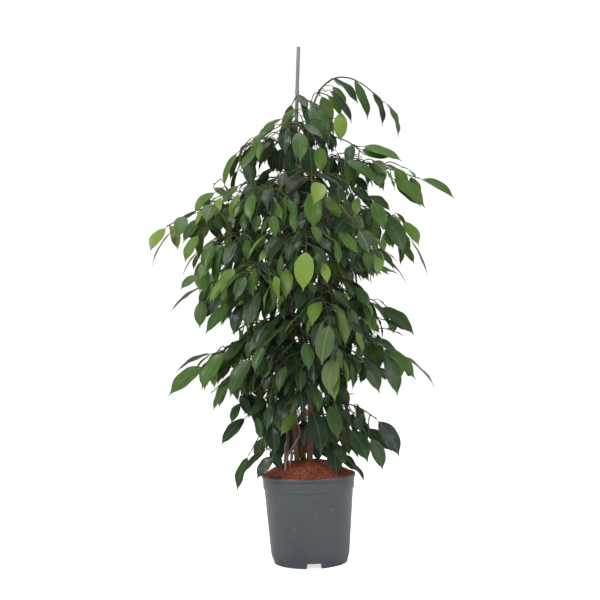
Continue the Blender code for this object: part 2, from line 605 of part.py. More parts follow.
def make_cane(material):
    """A bamboo cane: straight, tapered, with a raised knot at each joint."""
    length = (CANE_TOP - CANE_FOOT).length
    along = (CANE_TOP - CANE_FOOT) / length
    buried = (SOIL_CROWN - CANE_FOOT.z) + 0.010

    def radius(place):
        """Constant where it is buried, then tapering."""
        share = max(place - buried, 0) / (length - buried)
        return CANE_RADII[0] + (CANE_RADII[1] - CANE_RADII[0]) * share

    stops = [(0, 1.0), (length, 1.0)]
    knot = length - CANE_TOP_KNOT
    while knot > buried + 0.01:
        stops += [(knot - 0.004, 1.0), (knot, 1.22), (knot + 0.003, 1.0)]
        knot -= CANE_KNOT_SPACING
    stops.append((buried, 1.0))
    stops.sort()
    path = [CANE_FOOT + along * place for place, _ in stops]
    radii = [radius(place) * swell for place, swell in stops]
    cane = new_object("cane", *tube(path, radii, CANE_SIDES), material)
    shade_round(cane)
    return CANE_FOOT, CANE_FOOT + along * (buried + 0.02), CANE_RADII[0], CANE_SIDES


# Stems


def stem_line(name):
    """A stem's centre line and the radius at each of its points: upright in the soil, then as drawn."""
    points, low, high = STEMS[name]
    line = smooth_path(points, 2 * len(points) - 1)
    root = Vector((line[0].x, line[0].y, line[0].z - STEM_ROOT_DEPTH))
    radii = [low] + [low + (high - low) * i / (len(line) - 1) for i in range(len(line))]
    return [root] + line, radii


def stem_point(name, height):
    """The point of a stem's centre line at a height."""
    line, _ = stem_line(name)
    for low, high in zip(line, line[1:]):
        if low.z <= height <= high.z:
            return low.lerp(high, (height - low.z) / (high.z - low.z))
    return line[-1].copy()


def make_stem(name, material):
    line, radii = stem_line(name)
    stem = new_object(name, *tube(line, radii, STEM_SIDES), material)
    shade_round(stem, 70)
    return line[0], line[1] + UP * 0.02, radii[0], STEM_SIDES


# Leaves


def leaf_side(heading, pitches, roll):
    """The sideways direction of a blade, level but for its roll about the midrib."""
    flat = Vector((math.cos(heading), math.sin(heading), 0))
    middle = sum(pitches) / 2
    return Matrix.Rotation(roll, 3, flat * math.cos(middle) - UP * math.sin(middle)) @ UP.cross(flat)


def leaf_stations(base, heading, pitches, side, length):
    """Points down a leaf's midrib from the end of its stalk to its tip, each with the way up from the
    blade. The leaf arches from one pitch to the other."""
    flat = Vector((math.cos(heading), math.sin(heading), 0))
    stations = []
    point = base
    previous = 0.0
    for place in [place for place, _ in LEAF_OUTLINE] + [1.0]:
        pitch = pitches[0] + (pitches[1] - pitches[0]) * (place + previous) / 2
        along = flat * math.cos(pitch) - UP * math.sin(pitch)
        point = point + along * length * (place - previous)
        stations.append((point, along.cross(side).normalized()))
        previous = place
    return stations


def stalk_ring(centre, side, up, radius=STALK_RADIUS):
    return [centre + side * radius + up * radius * 0.6, centre - side * radius + up * radius * 0.6,
            centre - up * radius]


def leaf_solid(path, radii, base, heading, pitches, side, length, thickness):
    """Points and faces of one leaf: three-sided wood along a path that leads to it, and a blade whose two
    faces are split alike and that closes to a point at the drip tip."""
    stations = leaf_stations(base, heading, pitches, side, length)
    half = length * LEAF_HALF_WIDTH
    wood = tube(path + [base], radii + [STALK_RADIUS], 3)[0][:-3]
    centre = path[-1]
    stalk_up = (base - centre).cross(side).normalized()
    ring = stalk_ring(base, side, (stalk_up + stations[0][1]).normalized())

    def match(turn):
        """How well the wood's last ring, turned by some corners, faces the stalk's ring."""
        last = wood[-3:]
        return sum((last[(k + turn) % 3] - centre).dot(ring[k] - base) for k in range(3))

    turn = max(range(3), key=match)
    points = [wood[a + (k + turn) % 3] for a in range(0, len(wood), 3) for k in range(3)] + ring
    faces = [(0, 2, 1)]
    for a in range(0, len(wood), 3):
        for k in range(3):
            n = (k + 1) % 3
            faces += [(a + k, a + n, a + 3 + n), (a + k, a + 3 + n, a + 3 + k)]
    for (point, up), (_, share) in list(zip(stations, LEAF_OUTLINE))[1:]:
        for sign in (1, -1):
            edge = point + side * sign * half * share
            points += [edge + up * thickness / 2, edge - up * thickness / 2]
    points.append(stations[-1][0])
    c = len(wood)
    faces += [(c, c + 1, c + 5), (c, c + 5, c + 3), (c + 2, c + 4, c + 6), (c, c + 3, c + 4),
              (c, c + 4, c + 2), (c + 1, c + 6, c + 5), (c + 1, c + 2, c + 6)]
    last = c + 3 + 4 * (len(LEAF_OUTLINE) - 2)
    for a in range(c + 3, last, 4):
        b = a + 4
        faces += [(a, a + 2, b + 2), (a, b + 2, b), (a + 1, b + 3, a + 3), (a + 1, b + 1, b + 3),
                  (a, b, b + 1), (a, b + 1, a + 1), (a + 2, b + 3, b + 2), (a + 2, a + 3, b + 3)]
    tip = last + 4
    faces += [(last, last + 2, tip), (last + 1, tip, last + 3),
              (last, tip, last + 1), (last + 2, last + 3, tip)]
    return points, faces


def crosses_itself(points, faces):
    tree = BVHTree.FromPolygons(points, faces)
    return any(a < b and not set(faces[a]) & set(faces[b]) for a, b in tree.overlap(tree))


class Space:
    """What has been placed so far, so that nothing new is put through it."""

    def __init__(self):
        self.things = []

    @staticmethod
    def ball(points):
        centre = sum(points, Vector()) / len(points)
        return centre, max((p - centre).length for p in points)

    def add(self, points, faces, owner):
        self.things.append((*self.ball(points), BVHTree.FromPolygons(points, faces), owner))

    def free(self, points, faces, skip=()):
        centre, radius = self.ball(points)
        tree = None
        for other_centre, other_radius, other, owner in self.things:
            if owner in skip or (centre - other_centre).length > radius + other_radius:
                continue
            tree = tree or BVHTree.FromPolygons(points, faces)
            if tree.overlap(other):
                return False
        return True


def place_leaf(space, chance, owner, point, along, stalk_way, outward, wood=None):
    """One leaf on a twig, turned until it hangs clear of everything and inside the outline. Returns its
    solid, or None. The leaf at a twig's end goes on from the twig's wood, and any other has a stalk that
    starts inside the twig."""
    length = chance.uniform(*LEAF_LENGTH) * (0.86 if wood else 1.0)
    for attempt in range(LEAF_TRIES):
        loose = 0.15 + 0.85 * attempt / LEAF_TRIES
        way = stalk_way + Vector([chance.uniform(-0.5, 0.5) * loose for _ in range(3)])
        way.normalize()
        if (way.dot(along) < 0.6) if wood else (abs(way.dot(along)) > 0.75):
            continue
        base = point + way * (STALK + 0.001)
        aim = way * Vector((1, 1, 0)) * 1.3 + outward * 0.7
        heading = math.atan2(aim.y, aim.x) + chance.gauss(0, 0.62) * (0.5 + loose)
        start = math.radians(chance.uniform(16, 62) + 20 * chance.uniform(-1, 1) * loose)
        end = start + math.radians(chance.uniform(20, 40))
        roll = chance.gauss(0, 0.42) * (0.6 + loose)
        size = length * (1 - LOOSEST * attempt / LEAF_TRIES)
        flat = Vector((math.cos(heading), math.sin(heading), 0))
        side = leaf_side(heading, (start, end), roll)
        if way.dot(flat * math.cos(start) - UP * math.sin(start)) < 0.2 or abs(way.dot(side)) > 0.6:
            continue
        wide = leaf_solid([point + way * STALK * 0.6], [STALK_RADIUS], base, heading, (start, end), side,
                          size * 1.03, LEAF_THICKNESS + 2 * CLEARANCE)
        stalk = tube([point + way * 0.003, base], (STALK_CLEARANCE, STALK_CLEARANCE), 3)
        path, radii = wood or ([point - way * ROOT_SINK], [ROOT_RADIUS])
        leaf = leaf_solid(path, radii, base, heading, (start, end), side, size, LEAF_THICKNESS)
        clear = space.free(*wide) and space.free(*stalk, skip=[owner])
        if clear and all(within(p) for p in leaf[0][-9:]) and not crosses_itself(*leaf):
            space.add(*wide, owner=None)
            space.add(*stalk, owner=None)
            return leaf
    return None


def set_leaf(start, leaf):
    """A leaf set by hand: its blade's values for leaf_solid, and where a twig that ends in it stops."""
    base, tip, facing = (Vector(v) for v in leaf)
    chord = tip - base
    along = chord.normalized()
    side = facing.cross(along).normalized()
    way = (base - start).normalized() * 0.7 + along * 0.7 + UP * 0.1
    way = (way - side * way.dot(side) * 0.7).normalized()
    pitch = math.asin(-along.z)
    pitches = (pitch - SET_ARCH, pitch + SET_ARCH)
    return (base, math.atan2(chord.y, chord.x), pitches, side, chord.length * 1.01), base - way * STALK


def stalk_root(twigs, blade):
    """The point on a branch's twigs that a set leaf's stalk would best leave from."""
    base, heading, pitches, side, _ = blade
    flat = Vector((math.cos(heading), math.sin(heading), 0))
    fall = flat * math.cos(pitches[0]) - UP * math.sin(pitches[0])

    def cost(place):
        k, share = place
        reach = base - path_point(twigs[k][0], share)
        way = reach.normalized()
        bend = abs(way.dot(path_way(twigs[k][0], share)) - 0.5) + max(0.3 - way.dot(fall), 0) * 3
        return abs(reach.length - STALK) * 60 + bend + abs(way.dot(side))

    k, share = min(((k, 0.24 + 0.02 * n) for k in range(len(twigs)) for n in range(37)), key=cost)
    return path_point(twigs[k][0], share)


def side_paths(path, foot, arrival):
    """Paths of a side twig from a branch to a given point, the best first."""
    def cost(share):
        reach = foot - path_point(path, share)
        slant = reach.normalized().dot(path_way(path, share))
        return abs(reach.length - TWIG_REACH) * 15 + abs(slant - 0.4)
    for share in sorted((0.20 + 0.02 * n for n in range(38)), key=cost)[:TWIG_TRIES]:
        yield arch(path_point(path, share), foot, TWIG_RISE, TWIG_RINGS, 0, arrival)


def grow_branch(space, chance, name):
    """The wood of a branch and its set leaves: each twig as its path, its radii and the blade at its end,
    and each leaf beside a twig as its root and its blade. A branch that would cross another shifts."""
    stem, height, tip, rise = BRANCHES[name]
    tip = Vector(tip)
    chosen = SET_LEAVES.get(name, [])
    own = [(name, "set", k) for k in range(len(chosen))]
    blade = None
    for attempt in range(BRANCH_TRIES):
        start = stem_point(stem, height - 0.0025 * attempt * (1 if attempt % 2 else -1) / 2)
        arrival = None
        if chosen:
            blade, tip = set_leaf(start, chosen[0])
            arrival = (blade[0] - tip).normalized()
        bend = rise * chance.uniform(0.85, 1.15)
        path = arch(start, tip, bend, BRANCH_RINGS + 1, chance.uniform(-SWAY, SWAY), arrival)
        test = tube(beyond(path, BRANCH_START), BRANCH_CLEARANCE, BRANCH_SIDES)
        if space.free(*test, skip=own[:1] if attempt < BRANCH_TRIES / 2 else own):
            break
    twigs = [(path, BRANCH_RADII, blade)]
    beside = []
    space.add(*test, owner=(name, 0))
    for k, leaf in enumerate(chosen[1:], 1):
        blade, foot = set_leaf(start, leaf)
        wood = [(name, n) for n in range(len(twigs))]
        root = stalk_root(twigs, blade)
        if (blade[0] - root).length < LONG_STALK:
            stalk = tube([root.lerp(blade[0], 0.2), blade[0]], (STALK_CLEARANCE, STALK_CLEARANCE), 3)
            if space.free(*stalk, skip=own + wood + [(name, "stalk")]):
                space.add(*stalk, owner=(name, "stalk"))
                beside.append((root, blade))
            continue
        arrival = (blade[0] - foot).normalized()
        for number, side_path in enumerate(list(side_paths(path, foot, arrival)) * 2):
            test = tube(beyond(side_path, TWIG_START), TWIG_CLEARANCE, 4)
            if space.free(*test, skip=[own[k], (name, 0)] if number < TWIG_TRIES else own + wood):
                space.add(*test, owner=(name, len(twigs)))
                twigs.append((side_path, TWIG_RADII, blade))
                break
    if chosen[1:]:
        return twigs, beside
    reach = (path[-1] - path[0]).length
    for k, (place, length) in enumerate(SIDE_TWIGS[:1] if reach < SHORT_BRANCH else SIDE_TWIGS):
        for attempt in range(LEAF_TRIES):
            shift = place + chance.uniform(-0.05, 0.05) * (1 + attempt / 10)
            at = path_point(path, shift)
            along = path_way(path, shift)
            side = UP.cross(along).normalized() * (1 if (k + len(name)) % 2 else -1)
            aside = side * chance.uniform(0.7, 1.1)
            way = (along * 0.75 + aside + UP * chance.uniform(0.0, 0.45)).normalized()
            end = at + way * length * chance.uniform(0.85, 1.1) - UP * length * TWIG_DROOP
            side_path = arch(at, end, TWIG_RISE, TWIG_RINGS)
            test = tube(beyond(side_path, TWIG_START), TWIG_CLEARANCE, 4)
            if within(end) and space.free(*test, skip=[(name, 0)]):
                space.add(*test, owner=(name, len(twigs)))
                twigs.append((side_path, TWIG_RADII, None))
                break
    return twigs, beside


def within(point):
    """Whether a point lies inside the plant's outline, and clear of the bare foot of its stems."""
    left, right, top = BARE_FOOT
    if point.z < top and point.y < 0 and left < point.x < right:
        return False
    for (low, low_left, low_right), (high, high_left, high_right) in zip(REACH, REACH[1:]):
        if low <= point.z <= high:
            share = (point.z - low) / (high - low)
            near, far = (low_left, high_left) if point.x < 0 else (low_right, high_right)
            limit = near + (far - near) * share
            return (point.x / limit) ** 2 + (point.y / DEPTH) ** 2 <= 1
    return False


def beyond(path, distance):
    """The path without its first few millimetres."""
    return [path[0] + (path[1] - path[0]).normalized() * distance] + path[1:]


def path_point(path, share):
    place = max(0, min(share, 1)) * (len(path) - 1)
    k = min(int(place), len(path) - 2)
    return path[k].lerp(path[k + 1], place - k)


def path_way(path, share):
    place = max(0, min(share, 1)) * (len(path) - 1)
    k = min(int(place), len(path) - 2)
    return (path[k + 1] - path[k]).normalized()


def grow_leaves(space, chance, name, twigs, beside):
    """Solids of a branch: each twig with the leaf at its end, then the leaves beside the twigs. All leaves
    of the crown are set by hand. The other branches get more, in turn on the two sides of each twig."""
    ended, leaves = [], []
    for root, blade in beside:
        way = (blade[0] - root).normalized()
        leaf = leaf_solid([root - way * ROOT_SINK], [ROOT_RADIUS], *blade, LEAF_THICKNESS)
        if not crosses_itself(*leaf):
            leaves.append(leaf)
    for k, (path, radii, blade) in enumerate(twigs):
        wood = (path, taper(radii, len(path)))
        length = sum((b - a).length for a, b in zip(path, path[1:]))
        bare = FIRST_LEAF if k == 0 else 0.45
        count = 0 if name == "branch_crown" else max(1, round(length * (1 - bare) / LEAF_SPACING))
        last = leaf_solid(*wood, *blade, LEAF_THICKNESS) if blade else None
        for n in range(count, -1 if k == 0 else 0, -1):
            terminal = n == count
            if terminal and blade:
                continue
            share = bare + (1 - bare) * n / count
            point = path_point(path, share)
            along = path_way(path, share)
            side = UP.cross(along).normalized() * (1 if n % 2 else -1)
            lift = UP * chance.uniform(-0.1, 0.4)
            way = along if terminal else (along * 0.5 + side * 0.8 + lift).normalized()
            outward = (point * Vector((1, 1, 0))).normalized()
            end = wood if terminal else None
            leaf = place_leaf(space, chance, (name, k), point, along, way, outward, end)
            if terminal:
                last = leaf
            elif leaf:
                leaves.append(leaf)
        ended.append(last or tube(path, radii, TWIG_SIDES))
    return ended + leaves


def make_branch(name, solids, material):
    """One leafy branch: its wood and leaves joined in one solid, seated against its stem. While an edge
    stays open, it is joined again with its leaves shifted by a hair."""
    line, stem_radii = stem_line(BRANCHES[name][0])
    wide = [r + GAP / math.cos(math.pi / STEM_SIDES) for r in stem_radii]
    line = line[:-1] + [line[-1] + UP * GAP]
    for attempt in range(JOIN_TRIES):
        branch = new_object(name, *solids[0], material)
        pieces = bpy.data.collections.new(name + "_pieces")
        bpy.context.scene.collection.children.link(pieces)
        for k, (points, faces) in enumerate(solids[1:]):
            shift = UP * HAIR * attempt * (1 if k % 2 else -1)
            piece = new_object("piece", [p + shift for p in points], faces)
            bpy.context.scene.collection.objects.unlink(piece)
            pieces.objects.link(piece)
        boolean(branch, pieces, "UNION")
        boolean(branch, new_object("seat", *tube(line, wide, STEM_SIDES)), "DIFFERENCE")
        if keep_largest(branch) or attempt == JOIN_TRIES - 1:
            break
        bpy.data.objects.remove(branch)


def make_foliage(material):
    chance = random.Random(GROWTH_SEED)
    space = Space()
    for name in STEMS:
        line, radii = stem_line(name)
        space.add(*tube(line, [r + CLEARANCE for r in radii], STEM_SIDES), owner=name)
    space.add(*tube([CANE_FOOT, CANE_TOP], CANE_CLEARANCE, CANE_SIDES), owner="cane")
    for name, leaves in SET_LEAVES.items():
        start = stem_point(*BRANCHES[name][:2])
        for k, leaf in enumerate(leaves):
            blade, foot = set_leaf(start, leaf)
            wide = leaf_solid([foot], [STALK_RADIUS], *blade, LEAF_THICKNESS + 2 * CLEARANCE)
            space.add(*wide, owner=(name, "set", k))
    first = sorted(BRANCHES, key=lambda name: name not in SET_LEAVES)
    wood = {name: grow_branch(space, chance, name) for name in first}
    solids = {name: grow_leaves(space, chance, name, *wood[name]) for name in first}
    for name in BRANCHES:
        make_branch(name, solids[name], material)
    return sum(len(found) for found in solids.values())


def main():
    clear_scene()
    pot_plastic = make_material("pot_plastic", (0.098, 0.116, 0.130), 0.55)
    earth = make_material("earth", (0.230, 0.070, 0.035), 0.95)
    bamboo = make_material("bamboo", (0.300, 0.235, 0.200), 0.60)
    bark = make_material("bark", (0.190, 0.130, 0.085), 0.80)
    leaf_green = make_material("leaf_green", (0.045, 0.120, 0.030), 0.35)
    make_pot(pot_plastic)
    buried = [make_stem(name, bark) for name in STEMS]
    buried.append(make_cane(bamboo))
    make_soil(earth, buried)
    leaves = make_foliage(leaf_green)
    print("leaves:", leaves)


main()
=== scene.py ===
import math
import random

import bmesh
import bpy
from mathutils import Matrix, Vector, noise
from mathutils.bvhtree import BVHTree


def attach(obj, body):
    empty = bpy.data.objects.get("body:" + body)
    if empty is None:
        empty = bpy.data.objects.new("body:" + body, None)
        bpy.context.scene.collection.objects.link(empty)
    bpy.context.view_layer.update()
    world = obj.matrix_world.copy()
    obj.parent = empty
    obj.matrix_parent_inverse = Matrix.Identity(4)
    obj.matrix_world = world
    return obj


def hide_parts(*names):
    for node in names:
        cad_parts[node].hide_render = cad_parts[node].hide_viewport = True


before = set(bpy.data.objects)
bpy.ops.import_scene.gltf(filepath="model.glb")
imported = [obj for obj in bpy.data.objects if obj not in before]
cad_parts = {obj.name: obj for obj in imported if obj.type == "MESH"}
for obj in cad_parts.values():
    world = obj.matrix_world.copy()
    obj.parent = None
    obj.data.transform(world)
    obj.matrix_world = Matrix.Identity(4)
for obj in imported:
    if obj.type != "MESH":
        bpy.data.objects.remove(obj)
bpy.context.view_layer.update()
up = Vector((0, 0, 1))
print("frame loaded")


# Camera, light and floor

studio = {
    "cameraPlace": (-0.00936, -2.03, 0.463),
    "cameraPitch": 3.3,  # degrees above level
    "cameraRoll": -1.39,
    "lens": 54.0,
    "worldColour": (1.0, 1.0, 1.0),
    "worldStrength": 0.34,
    "backdropStrength": 1.05,
    "floorSize": 40.0,
    "floorColour": (0.90, 0.90, 0.90),
    "floorGlow": 0.70,  # only seen, so that the floor is as white as the backdrop
    # name: place, size, power, colour
    "lamps": {
        "keyLeft": ((-2.0, -2.3, 2.5), 1.7, 58.0, (1.0, 0.985, 0.96)),
        "fillRight": ((2.3, -2.0, 1.4), 1.8, 22.0, (0.96, 0.98, 1.0)),
        "overhead": ((0.0, -0.1, 3.2), 2.2, 28.0, (1.0, 1.0, 1.0)),
        "backRim": ((0.5, 2.6, 2.4), 1.8, 34.0, (1.0, 1.0, 1.0)),
    },
    "lampAim": (0.0, 0.0, 0.60),
}


def addNode(tree, kind, feeds=None, **settings):
    made = tree.nodes.new("ShaderNode" + kind)
    for name, value in settings.items():
        setattr(made, name, value)
    for socket, value in (feeds or {}).items():
        if isinstance(value, bpy.types.NodeSocket):
            tree.links.new(value, made.inputs[socket])
        else:
            made.inputs[socket].default_value = value
    return made


def buildStudio(values):
    scene = bpy.context.scene
    scene.view_settings.view_transform = "Standard"
    scene.view_settings.look = "None"

    cameraData = bpy.data.cameras.new("photoCamera")
    cameraData.lens = values["lens"]
    cameraData.sensor_width = 36.0
    cameraData.clip_end = 100
    camera = bpy.data.objects.new("photoCamera", cameraData)
    tilt = Matrix.Rotation(math.radians(90 + values["cameraPitch"]), 4, "X")
    roll = Matrix.Rotation(math.radians(values["cameraRoll"]), 4, "Z")
    camera.matrix_world = Matrix.Translation(values["cameraPlace"]) @ tilt @ roll
    scene.collection.objects.link(camera)
    scene.camera = camera

    # the backdrop is seen a little brighter than it lights
    world = bpy.data.worlds.new("softStudio")
    world.use_nodes = True
    tree = world.node_tree
    tree.nodes.clear()
    colour = (*values["worldColour"], 1)
    lit = addNode(tree, "Background", {"Color": colour, "Strength": values["worldStrength"]})
    seen = addNode(tree, "Background", {"Color": colour, "Strength": values["backdropStrength"]})
    ray = addNode(tree, "LightPath")
    mix = addNode(tree, "MixShader", {0: ray.outputs["Is Camera Ray"], 1: lit.outputs[0], 2: seen.outputs[0]})
    output = addNode(tree, "OutputWorld", {"Surface": mix.outputs[0]})
    output.is_active_output = True
    scene.world = world

    for name, (place, size, power, tint) in values["lamps"].items():
        data = bpy.data.lights.new(name, "AREA")
        data.shape = "DISK"
        data.size = size
        data.energy = power
        data.color = tint
        lamp = bpy.data.objects.new(name, data)
        lamp.location = place
        lamp.rotation_euler = (Vector(values["lampAim"]) - lamp.location).to_track_quat("-Z", "Y").to_euler()
        scene.collection.objects.link(lamp)

    half = values["floorSize"] / 2
    mesh = bpy.data.meshes.new("floor")
    mesh.from_pydata([(-half, -half, 0), (half, -half, 0), (half, half, 0), (-half, half, 0)], [], [(0, 1, 2, 3)])
    floor = bpy.data.objects.new("floor", mesh)
    material = bpy.data.materials.new("floorWhite")
    material.use_nodes = True
    tree = material.node_tree
    shader = tree.nodes["Principled BSDF"]
    shader.inputs["Base Color"].default_value = (*values["floorColour"], 1)
    shader.inputs["Roughness"].default_value = 0.9
    glow = addNode(tree, "Emission", {"Color": (1.0, 1.0, 1.0, 1.0), "Strength": values["floorGlow"]})
    both = addNode(tree, "AddShader", {0: shader.outputs[0], 1: glow.outputs[0]})
    ray = addNode(tree, "LightPath")
    mix = addNode(tree, "MixShader", {0: ray.outputs["Is Camera Ray"], 1: shader.outputs[0], 2: both.outputs[0]})
    output = next(node for node in tree.nodes if node.type == "OUTPUT_MATERIAL")
    tree.links.new(mix.outputs[0], output.inputs["Surface"])
    mesh.materials.append(material)
    scene.collection.objects.link(floor)


buildStudio(studio)
print("studio ready")


# Shader groups that several materials share

def newGroup(name, inputs, outputs):
    group = bpy.data.node_groups.new(name, "ShaderNodeTree")
    for label, value in inputs.items():
        kind = "NodeSocketVector" if value is None else "NodeSocketFloat"
        socket = group.interface.new_socket(label, in_out="INPUT", socket_type=kind)
        if value is not None:
            socket.default_value = value
    for label in outputs:
        group.interface.new_socket(label, in_out="OUTPUT", socket_type="NodeSocketFloat")
    start = group.nodes.new("NodeGroupInput").outputs
    end = group.nodes.new("NodeGroupOutput").inputs
    return group, start, end


def mathNode(tree, operation, a, b=0.0, clamp=False):
    return addNode(tree, "Math", {0: a, 1: b}, operation=operation, use_clamp=clamp).outputs[0]


def spread(tree, value, low, high, first=0.0, last=1.0):
    feeds = {"Value": value, "From Min": low, "From Max": high, "To Min": first, "To Max": last}
    return addNode(tree, "MapRange", feeds, interpolation_type="SMOOTHSTEP").outputs["Result"]


def mixColour(tree, factor, a, b, blend="MIX"):
    made = tree.nodes.new("ShaderNodeMix")
    made.data_type = "RGBA"
    made.blend_type = blend
    for socket, value in ((0, factor), (6, a), (7, b)):
        if isinstance(value, bpy.types.NodeSocket):
            tree.links.new(value, made.inputs[socket])
        else:
            made.inputs[socket].default_value = value if socket == 0 else (*value, 1)
    return made.outputs[2]


def colourRamp(tree, factor, stops):
    made = addNode(tree, "ValToRGB", {"Fac": factor})
    elements = made.color_ramp.elements
    while len(elements) < len(stops):
        elements.new(0.5)
    for element, (place, colour) in zip(elements, stops):
        element.position = place
        element.color = (*colour, 1)
    return made.outputs["Color"]


def useGroup(tree, group, feeds):
    made = tree.nodes.new("ShaderNodeGroup")
    made.node_tree = group
    for socket, value in feeds.items():
        if isinstance(value, bpy.types.NodeSocket):
            tree.links.new(value, made.inputs[socket])
        else:
            made.inputs[socket].default_value = value
    return made.outputs


def makeVeinGroup():
    # midrib and side veins from the way along the blade and the distance out from its midrib, in metres
    group, start, end = newGroup(
        "leafVeins", {"Along": 0.0, "Out": 0.0, "Midrib Width": 0.0008, "Vein Spacing": 0.0042},
        ["Midrib", "Side Veins", "Height"])
    away = mathNode(group, "ABSOLUTE", start["Out"])
    wide = mathNode(group, "MULTIPLY", start["Midrib Width"], 2.2)
    midrib = spread(group, away, start["Midrib Width"], wide, 1.0, 0.0)
    slanted = mathNode(group, "SUBTRACT", start["Along"], mathNode(group, "MULTIPLY", away, 0.62))
    turns = mathNode(group, "MULTIPLY", mathNode(group, "DIVIDE", slanted, start["Vein Spacing"]), 2 * math.pi)
    wave = mathNode(group, "COSINE", turns)
    side = spread(group, wave, 0.80, 1.0)
    height = mathNode(group, "SUBTRACT", mathNode(group, "MULTIPLY", wave, 0.35), midrib)
    group.links.new(midrib, end["Midrib"])
    group.links.new(side, end["Side Veins"])
    group.links.new(height, end["Height"])
    return group


def makeMottleGroup():
    # soft patches with finer ones in them
    group, start, end = newGroup("mottle", {"Vector": None, "Scale": 30.0, "Low": 0.35, "High": 0.65}, ["Mask"])
    coarse = addNode(group, "TexNoise", {"Vector": start["Vector"], "Scale": start["Scale"], "Detail": 3.0})
    fineScale = mathNode(group, "MULTIPLY", start["Scale"], 5.3)
    fine = addNode(group, "TexNoise", {"Vector": start["Vector"], "Scale": fineScale, "Detail": 2.0})
    mixed = mathNode(group, "ADD", mathNode(group, "MULTIPLY", coarse.outputs["Fac"], 0.72),
                     mathNode(group, "MULTIPLY", fine.outputs["Fac"], 0.28))
    group.links.new(spread(group, mixed, start["Low"], start["High"]), end["Mask"])
    return group


def makeSpeckGroup():
    # scattered small round specks: dust, pores
    group, start, end = newGroup("specks", {"Vector": None, "Scale": 300.0, "Size": 0.12, "Share": 0.1}, ["Mask"])
    cells = addNode(group, "TexVoronoi", {"Vector": start["Vector"], "Scale": start["Scale"]})
    lone = addNode(group, "SeparateColor", {0: cells.outputs["Color"]})
    chosen = mathNode(group, "LESS_THAN", lone.outputs[0], start["Share"])
    near = spread(group, cells.outputs["Distance"], 0.0, start["Size"], 1.0, 0.0)
    group.links.new(mathNode(group, "MULTIPLY", near, chosen), end["Mask"])
    return group


veinGroup = makeVeinGroup()
mottleGroup = makeMottleGroup()
speckGroup = makeSpeckGroup()


def startMaterial(name, **constants):
    material = bpy.data.materials.new(name)
    material.use_nodes = True
    tree = material.node_tree
    shader = tree.nodes["Principled BSDF"]
    for socket, value in constants.items():
        shader.inputs[socket.replace("_", " ")].default_value = value
    coords = addNode(tree, "TexCoord").outputs["Object"]
    return material, tree, shader, coords


def attribute(tree, name):
    return addNode(tree, "Attribute", attribute_name=name).outputs["Fac"]


def mottleMask(tree, vector, scale, low, high):
    return useGroup(tree, mottleGroup, {"Vector": vector, "Scale": scale, "Low": low, "High": high})["Mask"]


def speckMask(tree, vector, scale, size, share):
    return useGroup(tree, speckGroup, {"Vector": vector, "Scale": scale, "Size": size, "Share": share})["Mask"]


def leafVeins(tree, width, spacing):
    return useGroup(tree, veinGroup, {
        "Along": attribute(tree, "along"), "Out": attribute(tree, "out"),
        "Midrib Width": width, "Vein Spacing": spacing})


def stained(tree, colour, mask, share, stain):
    return mixColour(tree, mathNode(tree, "MULTIPLY", mask, share), colour, stain)


def finishMaterial(tree, shader, colour, mask, roughness, height, depth, strength):
    # the roughness runs from its low value to its high one with the mask
    tree.links.new(colour, shader.inputs["Base Color"])
    tree.links.new(spread(tree, mask, 0.0, 1.0, *roughness), shader.inputs["Roughness"])
    bump = addNode(tree, "Bump", {"Height": height, "Distance": depth, "Strength": strength})
    tree.links.new(bump.outputs[0], shader.inputs["Normal"])


# Leaf finishes

leafFinish = {
    # the ramps run by the age mark, which also paints shade in the middle of the crown and light on its outside and
    # top: the dark ends stand for shaded leaves as well as old ones, the light ends for lit ones as well as fresh ones
    "oldAndShadedColour": (0.009, 0.026, 0.013),  # deep blue-green
    "deepColour": (0.020, 0.054, 0.017),
    "midColour": (0.052, 0.118, 0.021),
    "freshAndLitColour": (0.088, 0.178, 0.021),
    "youngColour": (0.205, 0.315, 0.052),  # yellow-green
    "lowerOldAndShaded": (0.036, 0.064, 0.036),
    "lowerYoungAndLit": (0.220, 0.320, 0.090),
    "midribColour": (0.190, 0.270, 0.095),
    "upperRoughness": (0.28, 0.45),
    "lowerRoughness": (0.50, 0.66),
    "midribWidth": 0.00045,
    "veinSpacing": 0.0042,
    "veinDepth": 0.00012,
}


def makeLeafUpper(values):
    material, tree, shader, coords = startMaterial("leafUpper", Specular_IOR_Level=0.40)
    age = attribute(tree, "age")
    tone = attribute(tree, "tone")
    veins = leafVeins(tree, values["midribWidth"], values["veinSpacing"])
    patches = mottleMask(tree, coords, 55.0, 0.38, 0.62)
    # the age mark adds painted shade in the middle of the crown and painted light on its outside and top to the leaf's
    # age
    shifted = mathNode(tree, "ADD", age, mathNode(tree, "MULTIPLY", tone, 0.10))
    shifted = mathNode(tree, "ADD", shifted, mathNode(tree, "MULTIPLY", patches, 0.05), clamp=True)
    colour = colourRamp(tree, shifted, [
        (0.0, values["oldAndShadedColour"]), (0.25, values["deepColour"]), (0.50, values["midColour"]),
        (0.75, values["freshAndLitColour"]), (1.0, values["youngColour"])])
    colour = stained(tree, colour, veins["Midrib"], 0.38, values["midribColour"])
    colour = stained(tree, colour, veins["Side Veins"], 0.10, values["midribColour"])
    finishMaterial(tree, shader, colour, patches, values["upperRoughness"], veins["Height"], values["veinDepth"], 0.7)
    return material


